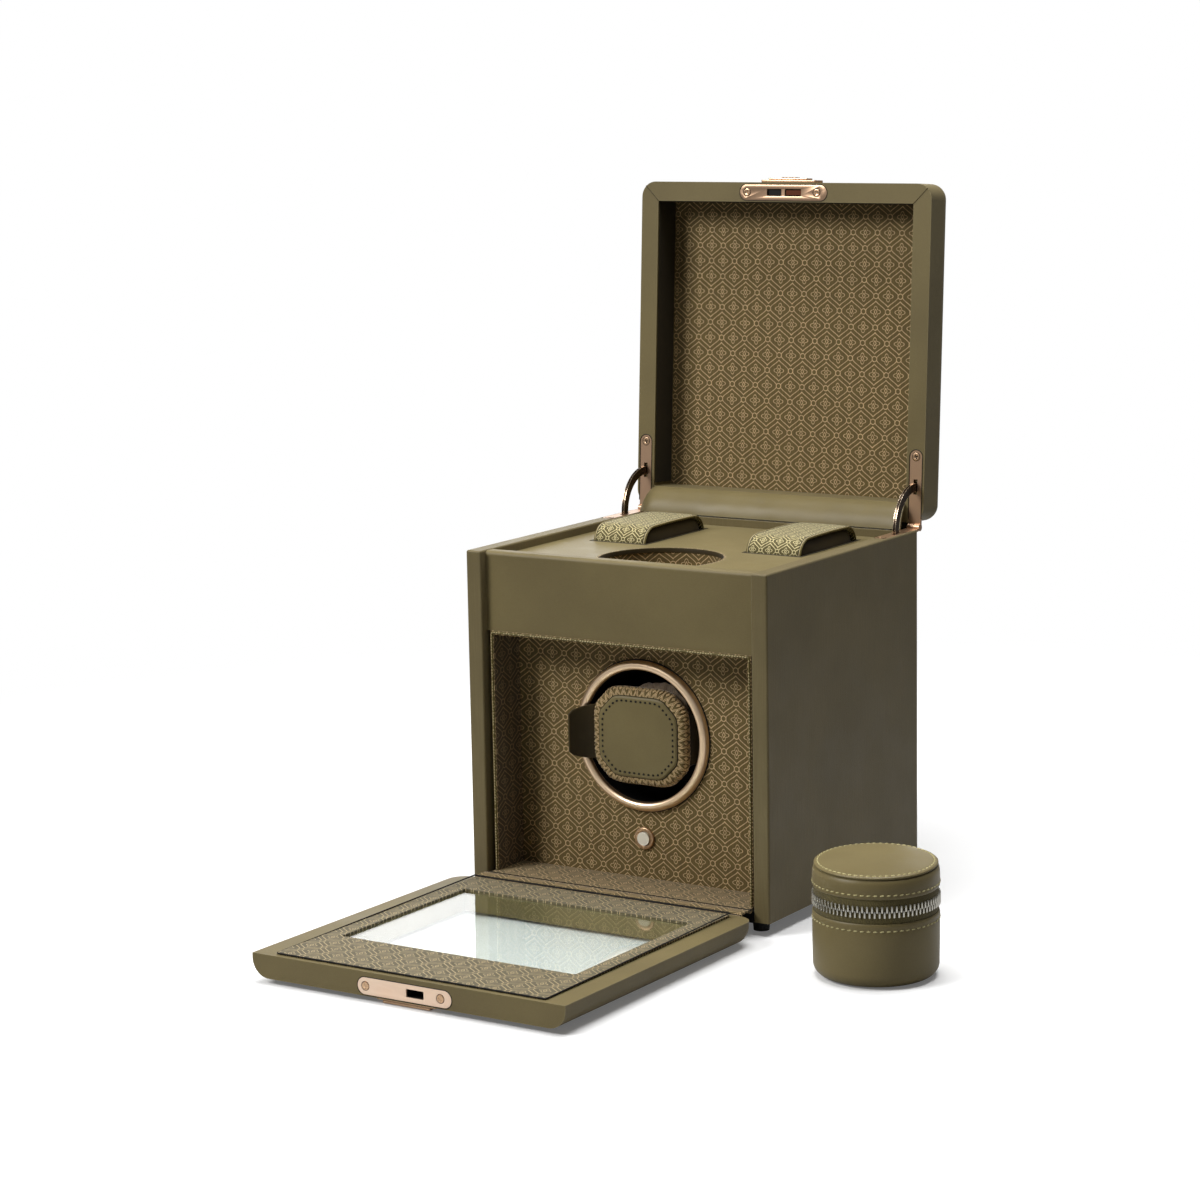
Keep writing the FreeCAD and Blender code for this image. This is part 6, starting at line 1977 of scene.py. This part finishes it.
@dataclass
class Lid:
    """Seams, hinge flaps and painted shade of the lid's leather: a dark sheet inside its walls and dark cords
    round its hinge plates.
    """

    workshop: Workshop
    outer_half: float = 99.2
    front: float = -104.4
    cavity: tuple[float, float, float] = (88.2, -93.5, 83.7)
    rim_z: float = 205.1
    line_sink: float = 0.02
    shade_sheet_low: float = 1.2
    shade_sheet_high: float = 20.0
    hinge_x: float = 94.3
    seat_half: float = 4.25
    seat_ends: Spot = (56.0, 93.0)
    flap_x: Spot = (76.0, 95.4)
    flap_z: Spot = (201.9, 209.6)
    flap_y: float = 101.3

    def mitres(self) -> None:
        """Mitred leather seams across the rim's corners."""
        swing = LID_SWING.matrix()
        meshes = []
        half, front, _ = self.cavity
        for side in Side:
            level = self.rim_z - self.line_sink
            start = mm(side.value * half, front, level)
            end = mm(side.value * (self.outer_half - 1.8), self.front + 1.6, level)
            meshes.append(tube([swing @ start.lerp(end, t / 10) for t in range(11)], 0.22, 6))
        self.workshop.place("lid_mitres", joined(meshes), "lid", [DARK_CALF], "olive_leather")

    def painted_shade_walls(self) -> None:
        """Dark leather sheet inside the lid's walls: painted shade."""
        swing = LID_SWING.matrix()
        half, front, rear = self.cavity
        skins = []
        for inset in (0.5, 0.02):
            corners = [(-half + inset, rear - 2.0), (-half + inset, front + inset),
                       (half - inset, front + inset), (half - inset, rear - 2.0)]
            skins.append([[swing @ mm(x, y, self.rim_z + z) for x, y in corners]
                          for z in (self.shade_sheet_low, self.shade_sheet_high)])
        self.workshop.place("lid_inner_walls", slab(*skins), "lid", [SHADOW_CALF], "olive_leather",
                            smooth=30.0)

    def hinge_seats(self) -> None:
        """Dark cords of painted shade round the hinge plates, and the dark flap that covers each barrel from
        behind.
        """
        swing = LID_SWING.matrix()
        rings, flaps = [], []
        half, (front, rear) = self.seat_half, self.seat_ends
        turn = shift(0.0, self.flap_y, 0.0) @ Matrix.Rotation(QUARTER, 4, "X")
        for side in Side:
            middle = side.value * self.hinge_x
            outline = [(middle - half, rear), *arc(half, (middle, front), 180.0, 180.0, 12),
                       (middle + half, rear)]
            path = [swing @ mm(x, y, self.rim_z - self.line_sink) for x, y in outline]
            # A dark cord round each plate: painted shade in the groove.
            rings.append(tube(path, 0.32, 6))
            ends = sorted(side.value * x for x in self.flap_x)
            flaps.append(plate(rounded_box(*ends, *self.flap_z, 0.8, 4), [], 0.9, 0.25, turn))
        self.workshop.place("lid_plate_seams", joined(rings), "lid", [SHADOW_CALF], "dark_fabric")
        self.workshop.place("barrel_flaps", joined(flaps), "lid", [SHADOW_CALF], "dark_fabric")

    def build(self) -> None:
        """Make the lid's pieces."""
        self.mitres()
        self.painted_shade_walls()
        self.hinge_seats()


@dataclass
class TravelCase:
    """The round zipped travel case: leather base and lid, zip, stitching and cushion."""

    workshop: Workshop
    centre: Spot = (183.5, -123.3)
    radius: float = 34.0
    base_top: float = 35.6
    tape_split: float = 42.2
    lid_low: float = 48.8
    crown: float = 62.6
    teeth: int = 82
    tooth_size: tuple[float, float, float] = (1.5, 1.15, 3.7)
    park: float = 120.0
    lean: float = 2.4
    shell: float = 2.4
    segments: int = 128
    stitch_pitch: float = 3.55
    stuffing_voxel: float = 2.4
    stuffing_pressure: float = 4.0
    stuffing_cap: float = 1.0

    def around(self, radius: float, height: float, count: int = 240, start: float = 0.0) -> list[Vector]:
        """Return a level ring of places about the case's middle.

        Args:
            radius: The ring's radius.
            height: Its height above the table.
            count: The number of places.
            start: The angle of the first, in radians.

        Returns:
            The places, in metres.
        """
        turns = [start + TAU * index / count for index in range(count)]
        x, y = self.centre
        return [mm(x + radius * math.cos(t), y + radius * math.sin(t), height) for t in turns]

    def turned(self, profile: Sequence[Spot], outside: int | None = None) -> bpy.types.Mesh:
        """Return a turned solid about the case's middle.

        Args:
            profile: Radius and height of each point.
            outside: The number of the first point whose faces are cloth, or None for one finish.

        Returns:
            The mesh.
        """
        marks = None if outside is None else (lambda row: int(row >= outside))
        return lathe(profile, self.centre, self.segments, marks)

    def edge_row(self, path: Sequence[Vector]) -> bpy.types.Mesh:
        """Return a row of gold stitches round the case's side."""
        places = sample_path(path, self.stitch_pitch * MM, closed=True)
        return stitches(places, 2.35, 0.42, lean=7.0, up=self.outward)

    def proud(self, place: Vector) -> float:
        """Return how far the lid stands up at a place: its top is a little high on the hinge's side."""
        back = (place.y / MM - self.centre[1]) * 0.95 - (place.x / MM - self.centre[0]) * 0.3
        high = min(1.0, max(0.0, (place.z / MM - self.lid_low - 3.0) / 6.0))
        return self.lean * MM * high * (back / self.radius + 1.0) / 2.0

    def outward(self, place: Vector) -> Vector:
        """Return the level direction away from the case's middle."""
        away = place - mm(*self.centre, 0.0)
        away.z = 0.0
        return away.normalized()

    def base(self) -> None:
        """Leather base with a soft foot, a turned top edge and a cloth inside."""
        r, top = self.radius, self.base_top
        profile = [(0.0, 0.0), (14.0, 0.0), (r - 7.6, 0.0), *arc(7.0, (r - 7.2, 7.0), -90.0, 90.0, 10)[1:]]
        profile += [(r - 0.15, 12.0), (r, 20.0), (r, 28.0)]
        profile += [
            (r - inset, top - drop)
            for inset, drop in ((0.1, 4.4), (0.22, 3.9), (0.08, 3.4), (0.0, 1.4), (0.12, 0.5), (0.55, 0.0),
                                (1.1, 0.25), (1.3, 1.2), (self.shell, 1.4))
        ]
        profile += [(r - self.shell, 5.0), (r - 3.4, 4.0), (0.0, 4.0)]
        mesh = self.turned(profile, len(profile) - 5)
        self.workshop.place("case_base_shell", mesh, "travel_case", [OLIVE_SMOOTH, DARK_CLOTH],
                            "olive_leather", ["case_base"], smooth=60.0)

    def lid(self) -> None:
        """Leather lid: a stitched band, a shadow groove and a domed top disc with a thin lip."""
        r, low = self.radius, self.lid_low
        outer = ((2.4, 1.2), (1.3, 0.9), (1.0, 0.15), (0.5, 0.0), (0.05, 0.55), (-0.05, 1.6), (0.12, 2.3),
                 (0.05, 3.0), (0.0, 5.0), (0.15, 7.6), (0.7, 9.4), (1.35, 10.1), (1.75, 10.2), (1.7, 10.55),
                 (1.2, 10.6), (0.85, 10.95), (0.95, 11.45), (1.4, 11.8), (2.4, 12.05), (2.9, 11.95),
                 (3.4, 12.15), (4.8, 12.3), (9.0, 12.65), (15.0, 12.95), (22.0, 13.15), (29.0, 13.25),
                 (r, 13.3))
        inner = ((r, 7.8), (3.0, 7.8), (2.4, 7.0), (2.4, 1.2))
        mesh = self.turned([(r - inset, low + rise) for inset, rise in (*outer, *inner)], len(outer) - 1)
        for vertex in mesh.vertices:
            vertex.co.z += self.proud(vertex.co)
        self.workshop.place("case_lid_shell", mesh, "travel_case_lid", [OLIVE_SMOOTH, DARK_CLOTH],
                            "olive_leather", ["case_lid"], smooth=60.0)

    def seams(self) -> None:
        """The three rows of gold stitching."""
        foot = self.edge_row(self.around(self.radius - 0.02, self.base_top - 3.9))
        self.workshop.place("case_base_stitching", foot, "travel_case", [THREAD], "zip_tape")
        band = self.edge_row(self.around(self.radius + 0.02, self.lid_low + 2.3))
        path = self.around(self.radius - 2.9, self.lid_low + 12.1)
        path = [place + Vector((0, 0, self.proud(place))) for place in path]
        top = stitches(sample_path(path, 3.3 * MM, closed=True), 2.3, 0.4, lean=9.0)
        self.workshop.place("case_lid_stitching", joined([band, top]), "travel_case_lid", [THREAD],
                            "zip_tape")

    def tapes(self) -> None:
        """Twill zip tapes, each with a corded edge at the teeth."""
        r, split = self.radius - 0.65, self.tape_split
        for name, body, node, out, inn in (
            ("lower_tape_cloth", "travel_case", "lower_zip_tape", self.base_top - 0.9, split - 0.15),
            ("upper_tape_cloth", "travel_case_lid", "upper_zip_tape", self.lid_low + 0.9, split + 0.15),
        ):
            profile = [
                (r - inset, out + (inn - out) * share)
                for inset, share in ((0.5, 0.0), (0.25, 0.15), (0.0, 0.4), (0.0, 0.75), (0.1, 0.86),
                                     (-0.15, 0.93), (0.0, 1.0), (1.0, 1.0), (1.1, 0.8), (1.1, 0.3),
                                     (1.3, 0.0), (0.5, 0.0))
            ]
            self.workshop.place(name, self.turned(profile), body, [TAPE_CLOTH], "zip_tape", [node])

    def zip_teeth(self) -> None:
        """Two staggered rows of nickel teeth that close on each other."""
        tooth = bmesh.new()
        bmesh.ops.create_cube(tooth, size=1.0)
        bmesh.ops.scale(tooth, verts=tooth.verts, vec=mm(*self.tooth_size))
        bmesh.ops.bevel(tooth, geom=tooth.edges[:], offset=0.42 * MM, segments=2, profile=0.5, affect="EDGES")
        block = finished(tooth)
        for name, body, height, stagger in (
            ("lower_teeth", "travel_case", self.tape_split - 1.4, 0.5),
            ("upper_teeth", "travel_case_lid", self.tape_split + 1.4, 0.0),
        ):
            row = bmesh.new()
            for index in range(self.teeth):
                turn = TAU * (index + stagger) / self.teeth
                place = self.around(self.radius - 0.35, height, 1, turn)[0]
                start = len(row.verts)
                row.from_mesh(block)
                row.verts.ensure_lookup_table()
                pose = Matrix.Translation(place) @ Matrix.Rotation(turn, 4, "Z")
                bmesh.ops.transform(row, matrix=pose, verts=row.verts[start:])
            self.workshop.place(name, finished(row), body, [BRIGHT_STEEL], "steel")

    def slider(self) -> None:
        """Zip slider parked beside the hinge, with its pull hanging down."""
        park = math.radians(self.park)
        poses = [
            Matrix.Translation(self.around(self.radius + out, self.tape_split - drop, 1, park)[0])
            @ Matrix.Rotation(park, 4, "Z") @ Matrix.Rotation(QUARTER, 4, "Y")
            for out, drop in ((1.0, 1.6), (1.75, 7.0))
        ]
        body = plate(rounded_box(-2.2, 2.2, -2.5, 2.5, 1.4, 5), [], 1.5, 0.4, poses[0] @ shift(0, 0, -0.75))
        self.workshop.place("slider_body", body, "zip_slider", [BRIGHT_STEEL], "steel", ["zip_slider"])
        hole = circle(1.0, 20, (-4.2, 0.0))
        tab = plate(rounded_box(-6.2, 6.2, -2.1, 2.1, 1.9, 6), [hole], 0.8, 0.25, poses[1])
        self.workshop.place("slider_pull", tab, "zip_slider", [BRIGHT_STEEL], "steel")

    def cushion(self) -> None:
        """Stuffed cushion inside, swollen by simulation."""
        profile = [(0.0, 4.6), (17.0, 4.6), (22.0, 5.2), (23.6, 8.0), (23.8, 16.0), (23.2, 22.0),
                   (20.5, 25.6), (13.0, 26.6), (0.0, 26.8)]
        mesh = puffed(lathe(profile, self.centre, 64), self.stuffing_voxel, self.stuffing_pressure,
                      self.stuffing_cap)
        piece = self.workshop.place("case_pillow", mesh, "travel_case", [DARK_CLOTH], "dark_fabric",
                                    ["case_cushion"])

    def build(self) -> None:
        """Make the travel case."""
        self.base()
        self.lid()
        self.seams()
        self.tapes()
        self.zip_teeth()
        self.slider()
        self.cushion()


@dataclass
class Studio:
    """Pale floor, soft lamps, white surroundings and the photograph's camera."""

    camera_place: tuple[float, float, float] = (948.15, -1586.56, 487.97)
    yaw: float = 32.6
    pitch: float = -9.77
    roll: float = -1.02
    focal_pixels: float = 3184.5
    frame_pixels: float = 1200.0
    floor_colour: str = "#f4f4f4"
    floor_shade: str = "#ececec"
    floor_half: float = 9.0
    floor_depth: float = 0.0004
    floor_lift: float = 0.12
    target: tuple[float, float, float] = (60.0, -60.0, 140.0)
    middle: Spot = (70.0, -90.0)
    pool: Spot = (430.0, 900.0)
    ambient: float = 0.045
    mirrored: float = 0.22
    bounce: float = 0.42
    through_glass: float = 0.3
    lamps: dict[str, tuple] = field(default_factory=lambda: {
        "key": ((-1000.0, -1500.0, 1500.0), 1000.0, 36.5),
        "top": ((50.0, 150.0, 1900.0), 1500.0, 46.0),
        "back": ((-950.0, 1500.0, 480.0), 1000.0, 5.0),
    })

    def camera(self) -> None:
        """Place the camera where the photograph was taken from."""
        yaw, pitch, roll = (math.radians(angle) for angle in (self.yaw, self.pitch, self.roll))
        level = math.cos(pitch)
        ahead = Vector((-math.sin(yaw) * level, math.cos(yaw) * level, math.sin(pitch)))
        flat = Vector((math.cos(yaw), math.sin(yaw), 0.0))
        steep = flat.cross(ahead)
        right = flat * math.cos(roll) + steep * math.sin(roll)
        up = steep * math.cos(roll) - flat * math.sin(roll)
        data = bpy.data.cameras.new("studio_camera")
        data.sensor_fit = "HORIZONTAL"
        data.sensor_width = 36.0
        data.lens = self.focal_pixels / self.frame_pixels * data.sensor_width
        data.clip_start, data.clip_end = 0.05, 50.0
        camera = bpy.data.objects.new("studio_camera", data)
        turn = Matrix((right, up, -ahead)).transposed().to_4x4()
        camera.matrix_world = Matrix.Translation(Vector(self.camera_place) * MM) @ turn
        bpy.context.scene.collection.objects.link(camera)
        bpy.context.scene.camera = camera

    def lights(self) -> None:
        """Hang the soft lamps."""
        target = mm(*self.target)
        for name, (place, size, power) in self.lamps.items():
            data = bpy.data.lights.new(name, "AREA")
            data.shape = "DISK"
            data.size = size * MM
            data.energy = power
            lamp = bpy.data.objects.new(name, data)
            lamp.matrix_world = facing(place, mm(*place) - target)
            bpy.context.scene.collection.objects.link(lamp)

    def floor(self) -> None:
        """Lay the pale floor."""
        half, low = self.floor_half, -self.floor_depth
        corners = [Vector((x * half, y * half, low)) for x, y in ((-1, -1), (1, -1), (1, 1), (-1, 1))]
        mesh = make_mesh(corners, [(0, 1, 2, 3)])
        floor = bpy.data.objects.new("studio_floor", mesh)
        bpy.context.scene.collection.objects.link(floor)
        material = bpy.data.materials.new("pale_floor")
        material.use_nodes = True
        graph = Graph(material.node_tree)
        shader = graph.find("BSDF_PRINCIPLED")
        spot = graph.read(graph.node("TexCoord"), "Object")
        shade = graph.noise(spot, 6.0) * 0.1
        pale = graph.choose(shade, linear(self.floor_colour), linear(self.floor_shade))
        seen = self.seen(graph)
        dim = (*(value * self.bounce for value in linear(self.floor_colour)[:3]), 1.0)
        graph.fill(shader, Base_Color=graph.choose(seen, dim, pale), Roughness=0.9, Specular_IOR_Level=0.1,
                   Emission_Color=WHITE, Emission_Strength=seen * self.floor_lift)
        far = graph.node("Emission", None, Strength=seen.apply("MAXIMUM", self.ambient))
        across, deep, _ = graph.split(spot)
        out = [across - self.middle[0] * MM, deep - self.middle[1] * MM]
        distance = (out[0] * out[0] + out[1] * out[1]).apply("SQRT")
        graph.put_out(graph.ramp(distance, self.pool[0] * MM, self.pool[1] * MM), shader, far)
        mesh.materials.append(material)

    def surroundings(self) -> None:
        """White surroundings that camera, mirror and glass rays see, and a dimmer light from all round."""
        world = bpy.data.worlds.new("studio_world")
        bpy.context.scene.world = world
        world.use_nodes = True
        graph = Graph(world.node_tree)
        graph.fill(graph.find("BACKGROUND"), Color=WHITE,
                   Strength=self.seen(graph).apply("MAXIMUM", self.ambient))

    def seen(self, graph: Graph) -> Signal:
        """Tell the rays that see white surroundings from the others.

        Args:
            graph: The material's or the world's graph.

        Returns:
            One for rays from the camera, less for rays off gloss and through glass.
        """
        rays = graph.node("LightPath")
        straight, through, gloss = (
            graph.read(rays, f"Is {kind} Ray") for kind in ("Camera", "Transmission", "Glossy")
        )
        return straight.apply("MAXIMUM", through * self.through_glass).apply("MAXIMUM", gloss * self.mirrored)

    def build(self) -> None:
        """Set up the studio."""
        self.camera()
        self.lights()
        self.floor()
        self.surroundings()
        bpy.context.scene.view_settings.view_transform = "Standard"


def main() -> None:
    """Build every piece."""
    logging.basicConfig(level=logging.INFO, format="%(name)s: %(message)s")
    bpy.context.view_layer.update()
    workshop = Workshop()
    Studio().build()
    workshop.dress_nodes()
    Casing(workshop).build()
    WindingCuff(workshop).build()
    for side in Side:
        StorageCuff(workshop, side).build()
    Fittings(workshop).build()
    Lid(workshop).build()
    TravelCase(workshop).build()


if __name__ == "__main__":
    main()
